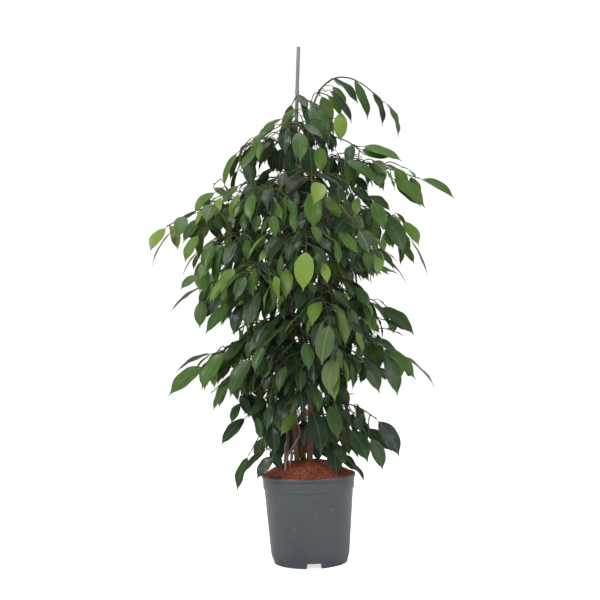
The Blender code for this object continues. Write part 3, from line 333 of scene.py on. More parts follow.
def makeLeafLower(values):
    material, tree, shader, coords = startMaterial("leafLower", Specular_IOR_Level=0.4)
    age = attribute(tree, "age")
    veins = leafVeins(tree, values["midribWidth"] * 1.4, values["veinSpacing"])
    patches = mottleMask(tree, coords, 70.0, 0.35, 0.65)
    # on the underside too the age mark carries painted shade and painted light besides the leaf's age
    shifted = mathNode(tree, "ADD", age, mathNode(tree, "MULTIPLY", patches, 0.08), clamp=True)
    colour = colourRamp(tree, shifted, [(0.1, values["lowerOldAndShaded"]), (1.0, values["lowerYoungAndLit"])])
    colour = stained(tree, colour, veins["Midrib"], 0.7, values["midribColour"])
    colour = stained(tree, colour, veins["Side Veins"], 0.18, values["midribColour"])
    finishMaterial(tree, shader, colour, patches, values["lowerRoughness"], veins["Side Veins"], values["veinDepth"],
                   0.6)
    return material


# Wood finishes

woodFinish = {
    "shootColour": (0.105, 0.135, 0.040),  # green young shoots and leaf stalks
    "twigColour": (0.082, 0.062, 0.036),
    "twigDark": (0.034, 0.028, 0.018),
    "barkRed": (0.340, 0.165, 0.095),
    "barkGrey": (0.175, 0.128, 0.098),
    "barkDark": (0.060, 0.034, 0.022),
    "thinRed": (0.400, 0.270, 0.205),
    "thinGrey": (0.370, 0.310, 0.255),
    "thinDark": (0.200, 0.150, 0.115),
}


def makeTwigWood(values):
    # the age is 1 on green shoots and stalks, 0 on brown twigs
    material, tree, shader, coords = startMaterial("twigWood", Specular_IOR_Level=0.35)
    age = attribute(tree, "age")
    patches = mottleMask(tree, coords, 160.0, 0.36, 0.64)
    brown = mixColour(tree, patches, values["twigColour"], values["twigDark"])
    colour = mixColour(tree, age, brown, values["shootColour"])
    pores = speckMask(tree, coords, 520.0, 0.35, 0.22)
    colour = stained(tree, colour, pores, 0.35, values["barkGrey"])
    finishMaterial(tree, shader, colour, patches, (0.50, 0.68), patches, 0.0002, 0.5)
    return material


def makeStemBark(name, red, grey, dark):
    material, tree, shader, coords = startMaterial(name, Specular_IOR_Level=0.3)
    stretched = addNode(tree, "Mapping", {"Vector": coords, "Scale": (1.0, 1.0, 0.28)}).outputs[0]
    streaks = mottleMask(tree, stretched, 120.0, 0.33, 0.67)
    patches = mottleMask(tree, coords, 22.0, 0.38, 0.62)
    height = addNode(tree, "SeparateXYZ", {0: coords}).outputs[2]
    low = spread(tree, height, 0.26, 0.50, 1.0, 0.0)  # redder towards the soil
    body = mixColour(tree, low, grey, red)
    colour = stained(tree, body, patches, 0.50, dark)
    pores = speckMask(tree, coords, 330.0, 0.40, 0.25)
    colour = stained(tree, colour, pores, 0.6, (0.30, 0.22, 0.16))
    relief = mathNode(tree, "ADD", streaks, pores)
    finishMaterial(tree, shader, colour, streaks, (0.62, 0.85), relief, 0.0006, 0.7)
    return material


# Building blocks for meshes

class Shape:
    # points and faces of one piece, with the marks its materials read
    def __init__(self):
        self.points = []
        self.faces = []
        self.slots = []
        self.marks = {"age": [], "tone": [], "along": [], "out": []}

    def add(self, points, faces, slots=0, age=0.0, tone=0.0, along=None, out=None):
        first = len(self.points)
        count = len(points)
        self.points += points
        self.faces += [tuple(first + k for k in face) for face in faces]
        self.slots += slots if isinstance(slots, list) else [slots] * len(faces)
        self.marks["age"] += age if isinstance(age, list) else [age] * count
        self.marks["tone"] += [tone] * count
        self.marks["along"] += along or [0.0] * count
        self.marks["out"] += out or [0.0] * count


def registerPiece(name, mesh, stands):
    piece = bpy.data.objects.new(name, mesh)
    bpy.context.scene.collection.objects.link(piece)
    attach(piece, "root")
    if stands:
        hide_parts(*stands)
    return piece


def makePiece(name, shape, materials, stands=(), sharp=None):
    mesh = bpy.data.meshes.new(name)
    mesh.from_pydata([tuple(p) for p in shape.points], [], shape.faces)
    for material in materials:
        mesh.materials.append(material)
    mesh.polygons.foreach_set("material_index", shape.slots)
    for label, values in shape.marks.items():
        if any(values):
            mesh.attributes.new(label, "FLOAT", "POINT").data.foreach_set("value", values)
    mesh.shade_smooth()
    if sharp:
        mesh.set_sharp_from_angle(angle=math.radians(sharp))
    mesh.update()
    return registerPiece(name, mesh, stands)


def lathe(profile, segments):
    # the profile starts on the axis underneath, runs up the outside and comes back to the axis inside
    points = [Vector((0, 0, profile[0][1]))]
    for radius, height in profile[1:-1]:
        for k in range(segments):
            turn = 2 * math.pi * k / segments
            points.append(Vector((radius * math.cos(turn), radius * math.sin(turn), height)))
    points.append(Vector((0, 0, profile[-1][1])))
    rings = len(profile) - 2
    faces = []
    for k in range(segments):
        n = (k + 1) % segments
        faces.append((0, 1 + n, 1 + k))
        for i in range(rings - 1):
            low, high = 1 + i * segments, 1 + (i + 1) * segments
            faces.append((low + k, low + n, high + n, high + k))
        last = 1 + (rings - 1) * segments
        faces.append((last + k, last + n, len(points) - 1))
    return points, faces


def cutAway(name, points, faces, cutters):
    # the shape with the cutters taken out of it, as a new mesh

    def solid(label, parts):
        made = bpy.data.meshes.new(label)
        whole = Shape()
        for part in parts:
            whole.add(*part)
        made.from_pydata([tuple(p) for p in whole.points], [], whole.faces)
        helper = bpy.data.objects.new(label, made)
        bpy.context.scene.collection.objects.link(helper)
        return helper

    body = solid(name + "Body", [(points, faces)])
    tools = solid(name + "Cutters", cutters)
    cut = body.modifiers.new("cut", "BOOLEAN")
    cut.operation = "DIFFERENCE"
    cut.solver = "EXACT"
    cut.object = tools
    mesh = bpy.data.meshes.new_from_object(body.evaluated_get(bpy.context.evaluated_depsgraph_get()))
    mesh.name = name
    for helper in (body, tools):
        bpy.data.objects.remove(helper)
    return mesh


def smoothPath(points, count):
    points = [Vector(p) for p in points]
    ends = [points[0] * 2 - points[1]] + points + [points[-1] * 2 - points[-2]]
    path = []
    for i in range(count):
        place = i / (count - 1) * (len(points) - 1)
        k = min(int(place), len(points) - 2)
        t = place - k
        a, b, c, d = ends[k:k + 4]
        path.append(0.5 * (2 * b + (c - a) * t + (2 * a - 5 * b + 4 * c - d) * t ** 2
                           + (3 * b - a - 3 * c + d) * t ** 3))
    return path


def bezier(a, b, c, d, count):
    path = []
    for i in range(count):
        t = i / (count - 1)
        s = 1 - t
        path.append(a * s ** 3 + b * 3 * s * s * t + c * 3 * s * t * t + d * t ** 3)
    return path


def arch(start, tip, rise, count, sideways=0.0, arrival=None):
    # a branch leaves upwards and outwards, arches over and droops to its tip
    out = (tip - start) * Vector((1, 1, 0))
    side = up.cross(out) * sideways
    first = start + out * 0.22 + side + up * (max(tip.z - start.z, 0) + rise) * 1.25
    second = tip - out * 0.30 + side + up * rise * 1.35
    if arrival:
        second = (second + tip - arrival * out.length * 0.35) / 2
    return bezier(start, first, second, tip, count)


def taper(radii, count):
    return [radii[0] + (radii[1] - radii[0]) * i / (count - 1) for i in range(count)]


def tube(path, radii, sides):
    if len(radii) != len(path):
        radii = taper(radii, len(path))
    points = []
    across = None
    for i, centre in enumerate(path):
        along = (path[min(i + 1, len(path) - 1)] - path[max(i - 1, 0)]).normalized()
        if across is None:
            across = along.orthogonal() if abs(along.z) < 0.9 else Vector((1, 0, 0))
        across = (across - along * across.dot(along)).normalized()
        other = along.cross(across)
        for k in range(sides):
            turn = 2 * math.pi * k / sides
            points.append(centre + (across * math.cos(turn) + other * math.sin(turn)) * radii[i])
    faces = [tuple(reversed(range(sides)))]
    for i in range(len(path) - 1):
        for k in range(sides):
            n = (k + 1) % sides
            low, high = i * sides, (i + 1) * sides
            faces.append((low + k, low + n, high + n, high + k))
    top = (len(path) - 1) * sides
    faces.append(tuple(top + k for k in range(sides)))
    return points, faces


def level(heading):
    return Vector((math.cos(heading), math.sin(heading), 0))


def falling(flat, pitch):
    return flat * math.cos(pitch) - up * math.sin(pitch)


def pathPoint(path, share):
    place = max(0, min(share, 1)) * (len(path) - 1)
    k = min(int(place), len(path) - 2)
    return path[k].lerp(path[k + 1], place - k)


def pathWay(path, share):
    place = max(0, min(share, 1)) * (len(path) - 1)
    k = min(int(place), len(path) - 2)
    return (path[k + 1] - path[k]).normalized()


# Stems and cane: where they run

stemValues = {
    # points from the soil up, then the radius at the soil and at the top
    "stem_right": (
        [(0.004, -0.008, 0.232), (0.008, -0.013, 0.35), (0.001, -0.01, 0.5), (0.012, -0.013, 0.7),
         (0.019, -0.012, 0.85), (0.018, -0.008, 0.985)],
        0.007, 0.0028,
    ),
    "stem_left": (
        [(-0.025, -0.006, 0.232), (-0.029, -0.012, 0.35), (-0.037, -0.018, 0.55), (-0.034, -0.021, 0.75),
         (-0.03, -0.02, 0.93)],
        0.0062, 0.0026,
    ),
    "stem_back": (
        [(-0.01, 0.026, 0.232), (-0.007, 0.031, 0.4), (0.0, 0.034, 0.6), (0.005, 0.031, 0.78),
         (0.002, 0.028, 0.9)],
        0.0058, 0.0025,
    ),
    "stem_thin": (
        [(-0.05, -0.052, 0.215), (-0.042, -0.05, 0.242), (-0.022, -0.045, 0.273), (-0.017, -0.041, 0.292),
         (-0.027, -0.038, 0.322), (-0.034, -0.037, 0.35), (-0.03, -0.042, 0.4), (-0.024, -0.044, 0.46)],
        0.0024, 0.0017,
    ),
}
stemRootDepth = 0.055
caneFoot = Vector((-0.058, 0.012, 0.060))
caneTop = Vector((0.0012, 0.0, 1.162))
caneClear = (0.0075, 0.006)  # radius kept free round it, at its foot and its top


def stemLine(name):
    points, low, high = stemValues[name]
    line = smoothPath(points, 2 * len(points) - 1)
    root = Vector((line[0].x, line[0].y, line[0].z - stemRootDepth))
    radii = [low] + [low + (high - low) * i / (len(line) - 1) for i in range(len(line))]
    return [root] + line, radii


def stemPoint(name, height):
    line, _ = stemLine(name)
    for low, high in zip(line, line[1:]):
        if low.z <= height <= high.z:
            return low.lerp(high, (height - low.z) / (high.z - low.z))
    return line[-1].copy()


# Branches: stem, height where each leaves it, tip, and how far it arches over its ends

branchValues = {
    # right side, top to bottom
    "branch_crown": ("stem_right", 0.984, (0.19, -0.02, 1.033), 0.086),
    "branch_right_01": ("stem_right", 0.935, (0.15, 0.075, 0.925), 0.03),
    "branch_right_02": ("stem_right", 0.89, (0.275, -0.02, 0.853), 0.02),
    "branch_right_03": ("stem_right", 0.745, (0.262, -0.06, 0.705), 0.06),
    "branch_right_04": ("stem_right", 0.69, (0.205, -0.125, 0.655), 0.05),
    "branch_right_05": ("stem_right", 0.64, (0.15, 0.11, 0.65), 0.04),
    "branch_right_06": ("stem_right", 0.575, (0.205, 0.01, 0.565), 0.04),
    "branch_right_07": ("stem_right", 0.49, (0.262, -0.03, 0.432), 0.06),
    "branch_right_08": ("stem_right", 0.435, (0.16, 0.045, 0.415), 0.04),
    "branch_right_09": ("stem_right", 0.33, (0.163, -0.03, 0.322), 0.03),
    "branch_right_10": ("stem_right", 0.285, (0.085, -0.08, 0.24), 0.035),
    # left side
    "branch_left_01": ("stem_left", 0.929, (-0.078, -0.01, 0.972), 0.014),
    "branch_left_02": ("stem_left", 0.875, (-0.142, -0.04, 0.926), 0.025),
    "branch_left_03": ("stem_left", 0.805, (-0.205, 0.04, 0.85), 0.03),
    "branch_left_04": ("stem_left", 0.735, (-0.315, -0.02, 0.752), 0.045),
    "branch_left_05": ("stem_left", 0.665, (-0.24, -0.09, 0.69), 0.035),
    "branch_left_06": ("stem_left", 0.61, (-0.242, 0.045, 0.625), 0.04),
    "branch_left_07": ("stem_left", 0.56, (-0.2, -0.1, 0.578), 0.035),
    "branch_left_08": ("stem_left", 0.485, (-0.228, -0.015, 0.455), 0.04),
    "branch_left_09": ("stem_left", 0.45, (-0.15, -0.125, 0.478), 0.03),
    "branch_left_10": ("stem_left", 0.4, (-0.155, 0.045, 0.412), 0.035),
    "branch_left_11": ("stem_left", 0.335, (-0.148, -0.045, 0.318), 0.035),
    "branch_left_12": ("stem_left", 0.285, (-0.11, -0.02, 0.246), 0.04),
    # front
    "branch_front_01": ("stem_right", 0.915, (-0.01, -0.11, 0.915), 0.025),
    "branch_front_02": ("stem_right", 0.83, (0.05, -0.185, 0.82), 0.035),
    "branch_front_03": ("stem_left", 0.77, (-0.085, -0.205, 0.765), 0.035),
    "branch_front_04": ("stem_right", 0.77, (0.14, -0.185, 0.745), 0.035),
    "branch_front_05": ("stem_right", 0.72, (0.004, -0.265, 0.685), 0.045),
    "branch_front_06": ("stem_left", 0.63, (-0.115, -0.225, 0.62), 0.035),
    "branch_front_07": ("stem_right", 0.615, (0.06, -0.25, 0.575), 0.045),
    "branch_front_08": ("stem_left", 0.52, (-0.06, -0.235, 0.5), 0.04),
    "branch_front_09": ("stem_right", 0.455, (0.055, -0.2, 0.435), 0.035),
    "branch_front_10": ("stem_thin", 0.435, (-0.075, -0.165, 0.37), 0.04),
    "branch_front_11": ("stem_thin", 0.456, (0.002, -0.115, 0.355), 0.05),
    # back
    "branch_back_01": ("stem_back", 0.899, (0.04, 0.105, 0.955), 0.03),
    "branch_back_02": ("stem_back", 0.845, (-0.085, 0.185, 0.86), 0.03),
    "branch_back_03": ("stem_back", 0.795, (0.125, 0.195, 0.8), 0.03),
    "branch_back_04": ("stem_back", 0.735, (-0.01, 0.248, 0.735), 0.04),
    "branch_back_05": ("stem_back", 0.685, (-0.175, 0.18, 0.69), 0.035),
    "branch_back_06": ("stem_back", 0.655, (0.13, 0.215, 0.655), 0.035),
    "branch_back_07": ("stem_back", 0.59, (-0.065, 0.258, 0.595), 0.04),
    "branch_back_08": ("stem_back", 0.54, (0.11, 0.22, 0.525), 0.04),
    "branch_back_09": ("stem_back", 0.5, (-0.155, 0.165, 0.495), 0.035),
    "branch_back_10": ("stem_back", 0.445, (0.015, 0.225, 0.435), 0.04),
    "branch_back_11": ("stem_back", 0.395, (0.105, 0.15, 0.4), 0.035),
    "branch_back_12": ("stem_back", 0.345, (-0.095, 0.15, 0.345), 0.035),
    "branch_back_13": ("stem_back", 0.31, (0.045, 0.15, 0.29), 0.035),
}

# Leaves that make the outline: where the blade starts, its tip, the way it faces, and its age. The age was matched to
# how bright each leaf looks, so besides the leaf's own colour it paints the light and shade that fall on it.
# The first of a branch ends it. Each other one has a stalk on the nearest twig, or else its own side twig.
setLeaves = {
    "branch_crown": [
        ((0.197, -0.02, 1.02), (0.222, -0.025, 0.938), (0.8, -0.55, 0.35), 0.55),
        ((0.163, -0.015, 1.052), (0.189, -0.02, 0.964), (0.8, -0.55, 0.35), 0.34),
        ((0.127, -0.025, 1.073), (0.154, -0.03, 0.979), (0.75, -0.6, 0.35), 0.5),
        ((0.077, -0.008, 1.085), (0.134, -0.01, 1.02), (0.45, -0.55, 0.7), 0.26),
        ((0.07, -0.05, 1.044), (0.116, -0.058, 0.964), (0.55, -0.55, 0.58), 0.12),
        ((0.026, -0.055, 1.01), (0.055, -0.07, 0.922), (-0.2, -0.95, 0.2), 0.37),
        ((0.092, -0.06, 0.99), (0.088, -0.075, 0.92), (0.1, -0.95, 0.2), 0.84),
        ((0.066, -0.03, 1.039), (0.092, -0.035, 0.985), (0.3, -0.7, 0.5), 0.94),
        ((0.053, 0.03, 1.053), (0.073, 0.055, 0.986), (0.2, 0.9, 0.3), 0.79),
    ],
    "branch_right_02": [
        ((0.273, -0.02, 0.844), (0.345, -0.025, 0.795), (0.1, -0.6, 0.8), 0.6),
        ((0.141, -0.05, 0.916), (0.227, -0.055, 0.88), (0.1, -0.6, 0.8), 0.52),
        ((0.101, -0.09, 0.876), (0.166, -0.1, 0.815), (0.1, -0.7, 0.7), 0.36),
        ((0.166, 0.034, 0.891), (0.244, 0.042, 0.867), (0.05, -0.48, 0.88), 0.3),
        ((0.206, -0.05, 0.841), (0.271, -0.06, 0.77), (0.2, -0.75, 0.6), 0.58),
    ],
    "branch_right_03": [
        ((0.241, -0.02, 0.71), (0.277, -0.025, 0.624), (0.9, -0.25, 0.35), 0.35),
        ((0.224, -0.045, 0.746), (0.255, -0.06, 0.688), (0.4, -0.85, 0.3), 0.76),
        ((0.178, -0.085, 0.756), (0.214, -0.1, 0.667), (0.2, -0.9, 0.4), 0.27),
        ((0.153, -0.11, 0.781), (0.17, -0.125, 0.715), (0.1, -0.9, 0.4), 0.44),
    ],
    "branch_right_04": [
        ((0.178, -0.08, 0.664), (0.222, -0.085, 0.604), (0.7, -0.2, 0.7), 0.22),
        ((0.112, -0.13, 0.672), (0.148, -0.14, 0.612), (0.2, -0.8, 0.5), 0.15),
    ],
    "branch_right_06": [
        ((0.17, -0.03, 0.556), (0.242, -0.035, 0.489), (0.1, -0.62, 0.8), 0.42),
        ((0.11, -0.105, 0.599), (0.136, -0.12, 0.549), (0.1, -0.9, 0.3), 0.5),
        ((0.171, 0.015, 0.512), (0.225, 0.015, 0.492), (0, -0.2, 1), 0.25),
        ((0.132, -0.07, 0.488), (0.205, -0.075, 0.453), (0, -0.45, 0.9), 0.22),
    ],
    "branch_right_07": [
        ((0.218, -0.03, 0.447), (0.285, -0.035, 0.376), (0.3, -0.15, 0.95), 0.42),
        ((0.174, -0.06, 0.463), (0.238, -0.065, 0.394), (0.1, -0.5, 0.85), 0.65),
        ((0.172, -0.09, 0.444), (0.195, -0.1, 0.363), (0.4, -0.8, 0.2), 0.38),
        ((0.121, -0.115, 0.443), (0.15, -0.125, 0.369), (0.2, -0.85, 0.3), 0.25),
    ],
    "branch_right_09": [
        ((0.154, -0.08, 0.309), (0.196, -0.085, 0.232), (0.2, -0.85, 0.35), 0.02),
        ((0.092, -0.11, 0.295), (0.127, -0.12, 0.227), (-0.1, -0.9, 0.3), 0.26),
        ((0.136, -0.1, 0.275), (0.154, -0.105, 0.206), (0.2, -0.8, 0.2), 0.33),
        ((0.126, -0.05, 0.29), (0.186, -0.055, 0.24), (0, -0.6, 0.7), 0.38),
        ((0.048, -0.1, 0.347), (0.063, -0.112, 0.274), (-0.1, -0.9, 0.3), 0.43),
    ],
    "branch_right_10": [
        ((0.092, -0.09, 0.223), (0.118, -0.1, 0.183), (0.6, -0.3, 0.7), 0.22),
        ((0.055, -0.075, 0.264), (0.081, -0.085, 0.217), (0.2, -0.85, 0.3), 0.2),
    ],
    "branch_left_01": [
        ((-0.042, -0.02, 0.99), (-0.091, -0.025, 0.951), (-0.2, -0.6, 0.8), 0.5),
        ((-0.011, -0.05, 1.004), (-0.039, -0.06, 0.958), (-0.3, -0.7, 0.6), 0.45),
    ],
    "branch_left_02": [
        ((-0.144, -0.01, 0.917), (-0.174, -0.02, 0.838), (-0.75, -0.5, 0.4), 0.62),
        ((-0.095, -0.045, 0.928), (-0.135, -0.055, 0.866), (-0.3, -0.8, 0.5), 0.58),
    ],
    "branch_left_03": [
        ((-0.241, 0.02, 0.788), (-0.301, 0.02, 0.742), (-0.1, -0.35, 0.95), 0.22),
        ((-0.198, -0.01, 0.827), (-0.246, -0.02, 0.779), (-0.3, -0.8, 0.5), 0.69),
        ((-0.14, -0.06, 0.832), (-0.177, -0.07, 0.789), (-0.2, -0.7, 0.7), 0.5),
    ],
    "branch_left_04": [
        ((-0.312, 0.0, 0.75), (-0.344, -0.02, 0.695), (-0.35, -0.85, 0.4), 0.95),
        ((-0.293, -0.03, 0.738), (-0.337, -0.035, 0.662), (-0.6, -0.15, 0.75), 0.5),
        ((-0.226, -0.045, 0.764), (-0.265, -0.055, 0.707), (-0.2, -0.7, 0.7), 0.3),
        ((-0.23, -0.07, 0.723), (-0.257, -0.08, 0.661), (-0.4, -0.75, 0.4), 0.7),
    ],
    "branch_left_05": [
        ((-0.217, -0.07, 0.698), (-0.265, -0.075, 0.635), (-0.6, -0.2, 0.75), 0.3),
        ((-0.227, -0.095, 0.633), (-0.263, -0.115, 0.6), (-0.1, -0.8, 0.6), 0.55),
        ((-0.195, -0.11, 0.668), (-0.221, -0.12, 0.619), (-0.2, -0.8, 0.5), 0.65),
        ((-0.142, -0.13, 0.697), (-0.168, -0.14, 0.643), (-0.2, -0.8, 0.5), 0.22),
    ],
    "branch_left_06": [
        ((-0.225, -0.01, 0.616), (-0.301, -0.015, 0.558), (-0.2, -0.2, 0.95), 0.4),
        ((-0.225, -0.04, 0.581), (-0.231, -0.055, 0.519), (-0.1, -0.9, 0.2), 0.52),
    ],
    "branch_left_07": [
        ((-0.155, -0.1, 0.57), (-0.215, -0.105, 0.504), (-0.3, -0.6, 0.7), 0.4),
        ((-0.129, -0.13, 0.567), (-0.15, -0.14, 0.499), (-0.3, -0.85, 0.2), 0.08),
        ((-0.096, -0.16, 0.588), (-0.12, -0.17, 0.509), (-0.2, -0.9, 0.3), 0.2),
    ],
    "branch_left_08": [
        ((-0.231, -0.04, 0.435), (-0.303, -0.05, 0.371), (-0.2, -0.8, 0.55), 0.6),
        ((-0.215, 0.01, 0.463), (-0.295, 0.01, 0.424), (-0.1, -0.2, 0.95), 0.36),
        ((-0.177, -0.075, 0.464), (-0.225, -0.085, 0.384), (-0.3, -0.7, 0.6), 0.59),
        ((-0.132, -0.05, 0.492), (-0.181, -0.06, 0.432), (-0.2, -0.6, 0.8), 0.3),
    ],
    "branch_left_09": [
        ((-0.166, -0.1, 0.397), (-0.201, -0.105, 0.342), (-0.5, -0.4, 0.7), 0.42),
        ((-0.118, -0.13, 0.449), (-0.162, -0.14, 0.37), (-0.3, -0.75, 0.5), 0.34),
    ],
    "branch_left_11": [
        ((-0.138, -0.045, 0.32), (-0.189, -0.05, 0.261), (-0.35, -0.7, 0.6), 0.16),
        ((-0.085, -0.08, 0.359), (-0.13, -0.085, 0.322), (-0.1, -0.6, 0.8), 0.25),
        ((-0.146, -0.06, 0.354), (-0.165, -0.07, 0.311), (-0.4, -0.8, 0.2), 0.45),
    ],
    "branch_left_12": [
        ((-0.132, -0.06, 0.237), (-0.156, -0.07, 0.163), (-0.6, -0.6, 0.3), 0.36),
        ((-0.098, -0.085, 0.249), (-0.138, -0.09, 0.208), (-0.4, -0.5, 0.7), 0.2),
        ((-0.074, -0.1, 0.242), (-0.112, -0.105, 0.196), (-0.2, -0.8, 0.6), 0.02),
        ((-0.075, -0.085, 0.302), (-0.071, -0.095, 0.243), (-0.1, -0.9, 0.2), 0.02),
    ],
    "branch_front_01": [
        ((-0.003, -0.12, 0.934), (0.0, -0.145, 0.861), (0, -0.9, 0.3), 0.42),
        ((0.041, -0.11, 0.902), (0.042, -0.125, 0.841), (0.1, -0.9, 0.2), 0.53),
    ],
    "branch_front_02": [
        ((0.022, -0.2, 0.786), (0.021, -0.215, 0.71), (0, -0.9, 0.2), 0.55),
        ((0.046, -0.17, 0.785), (0.077, -0.185, 0.731), (0.1, -0.85, 0.4), 0.71),
    ],
    "branch_front_03": [
        ((-0.071, -0.19, 0.776), (-0.042, -0.205, 0.732), (0, -0.9, 0.4), 0.98),
        ((-0.061, -0.215, 0.741), (-0.057, -0.23, 0.693), (0, -0.95, 0.2), 0.6),
        ((-0.06, -0.2, 0.679), (-0.091, -0.215, 0.645), (-0.1, -0.85, 0.5), 0.91),
    ],
    "branch_front_04": [
        ((0.074, -0.2, 0.705), (0.11, -0.21, 0.657), (0.2, -0.8, 0.4), 0.65),
    ],
    "branch_front_05": [
        ((0.004, -0.275, 0.657), (-0.002, -0.295, 0.578), (0, -0.9, 0.2), 0.98),
        ((0.035, -0.265, 0.638), (0.045, -0.275, 0.594), (0.1, -0.9, 0.3), 0.98),
    ],
    "branch_front_07": [
        ((0.047, -0.25, 0.513), (0.034, -0.26, 0.434), (0, 0.95, 0.15), 0.28),
        ((0.057, -0.235, 0.451), (0.043, -0.245, 0.376), (0.1, 0.9, 0.15), 0.47),
        ((0.075, -0.215, 0.446), (0.08, -0.22, 0.389), (0.9, 0.3, 0.1), 0.98),
        ((0.065, -0.225, 0.544), (0.077, -0.23, 0.469), (0.8, 0.5, 0.1), 0.6),
    ],
    "branch_back_12": [
        ((-0.104, 0.085, 0.265), (-0.118, 0.105, 0.207), (-0.2, 0.9, 0.3), 0.2),
        ((-0.061, 0.075, 0.269), (-0.073, 0.095, 0.198), (-0.1, 0.9, 0.3), 0.15),
    ],
    "branch_back_13": [
        ((0.034, 0.085, 0.275), (0.051, 0.105, 0.201), (0.2, 0.9, 0.3), 0.2),
        ((-0.01, 0.09, 0.28), (-0.014, 0.11, 0.204), (0, 0.9, 0.3), 0.02),
        ((0.077, 0.05, 0.282), (0.095, 0.062, 0.219), (0.3, 0.8, 0.3), 0.25),
    ],
    "branch_front_11": [
        ((0.011, -0.1, 0.336), (0.027, -0.11, 0.242), (0.1, -0.9, 0.3), 0.12),
    ],
    "branch_front_08": [
        ((-0.002, -0.235, 0.481), (0.007, -0.25, 0.425), (0.1, -0.9, 0.3), 0.39),
    ],
}

outlineValues = {
    # height, and how far the foliage reaches there to the left and to the right
    "reach": (
        (0.196, -0.020, 0.020), (0.212, -0.157, 0.161), (0.247, -0.105, 0.150), (0.283, -0.112, 0.150),
        (0.319, -0.128, 0.125), (0.350, -0.155, 0.097), (0.375, -0.230, 0.118), (0.391, -0.299, 0.240),
        (0.409, -0.290, 0.267), (0.445, -0.271, 0.230), (0.462, -0.199, 0.213), (0.480, -0.181, 0.189),
        (0.498, -0.147, 0.223), (0.535, -0.252, 0.244), (0.554, -0.308, 0.207), (0.573, -0.294, 0.146),
        (0.609, -0.282, 0.145), (0.643, -0.277, 0.279), (0.681, -0.342, 0.263), (0.717, -0.355, 0.264),
        (0.735, -0.346, 0.262), (0.753, -0.294, 0.256), (0.772, -0.282, 0.213), (0.789, -0.250, 0.275),
        (0.806, -0.240, 0.348), (0.825, -0.217, 0.340), (0.843, -0.181, 0.322), (0.861, -0.173, 0.250),
        (0.880, -0.172, 0.165), (0.899, -0.160, 0.118), (0.917, -0.138, 0.100), (0.936, -0.105, 0.090),
        (0.972, -0.076, 0.085), (0.990, -0.060, 0.080), (1.008, -0.038, 0.076), (1.060, -0.012, 0.060),
    ),
    "depth": 0.300,
    "bareFoot": (-0.032, 0.013, 0.325),  # left and right edge and top of the clearing in front of the stems
}

twigValues = {
    "branchRadii": (0.0028, 0.0014),
    "branchClear": (0.0056, 0.0034),  # radius kept free round a branch
    "twigClear": (0.0032, 0.0030),
    "gapTwigClear": (0.0026, 0.0024),
    "stemSkip": 0.012,  # length next to a fork that isn't tested
    "forkSkip": 0.004,
    "branchRings": 5,
    "twigRadii": (0.0016, 0.0013),
    "twigRings": 3,
    "sideTwigs": ((0.45, 0.085), (0.68, 0.070)),  # place along the branch, and length
    "shortBranch": 0.150,
    "rise": 0.012,  # of a side twig over its ends
    "droop": 0.35,
    "placeStray": 0.05,
    "onWay": 0.75,
    "sideWay": (0.7, 1.1),
    "upWay": (0.0, 0.45),
    "lengths": (0.85, 1.1),
    "forkPlaces": (0.20, 0.02, 38),
    "setTwig": 0.045,  # the length that is best between a branch and a leaf of the outline
    "stemShift": 0.0025,
    "branchRise": (0.85, 1.15),
    "branchSway": (-0.12, 0.12),
    "shownThinner": 0.84,  # real twigs are finer than the solid ones
    "sides": 6,
}

# how long leaves are, how far their heading strays, how steeply they start down in degrees, and their roll
plannedHabit = {"length": (0.074, 0.096), "stray": 0.62, "fall": (16, 62), "roll": 0.42}
fullerHabit = {"length": (0.054, 0.082), "stray": 0.90, "fall": (28, 74), "roll": 0.75}

leafValues = {
    "halfWidth": 0.240,  # of the length
    "thickness": 0.0008,
    "stalk": 0.014,
    "stalkRadius": 0.0008,
    "outline": ((0.00, 0.05), (0.20, 0.66), (0.52, 0.97), (0.83, 0.17)),
    "spacing": 0.051,
    "firstLeaf": 0.34,
    "firstSideLeaf": 0.45,
    "terminalSize": 0.86,
    "lift": (-0.1, 0.4),
    "stalkStray": 0.5,
    "leastAlong": 0.6,  # a leaf that ends a twig goes on along it
    "mostAlong": 0.75,
    "leastFall": 0.2,
    "mostAside": 0.6,
    "aimShares": (1.3, 0.7),  # of the stalk's way, and of the way out from the plant
    "fallStray": 20,  # degrees
    "bladeArch": (20, 40),
    "shrink": 0.22,  # smaller after many tries
    "loose": (0.15, 0.85),  # looser with each try
    "wideBlade": 1.03,
    "stalkSkip": 0.003,
    "stalkExtra": 0.001,
    "rootPlaces": (0.24, 0.02, 37),  # first place on a twig, the step, and how many
    "clearance": 0.0012,
    "stalkClear": (0.0018, 0.0018),
    "tries": 40,
    "branchTries": 60,
    "twigTries": 12,
    "longStalk": 0.030,
    "setArch": math.radians(14),
    "seed": 11,
}


# Growth: the same rule and seed as the solid part, so that wood and leaves lie where its own are

def leafSide(heading, pitches, roll):
    flat = level(heading)
    middle = sum(pitches) / 2
    return Matrix.Rotation(roll, 3, falling(flat, middle)) @ up.cross(flat)


def stalkRing(centre, side, way, radius):
    return [centre + side * radius + way * radius * 0.6, centre - side * radius + way * radius * 0.6,
            centre - way * radius]


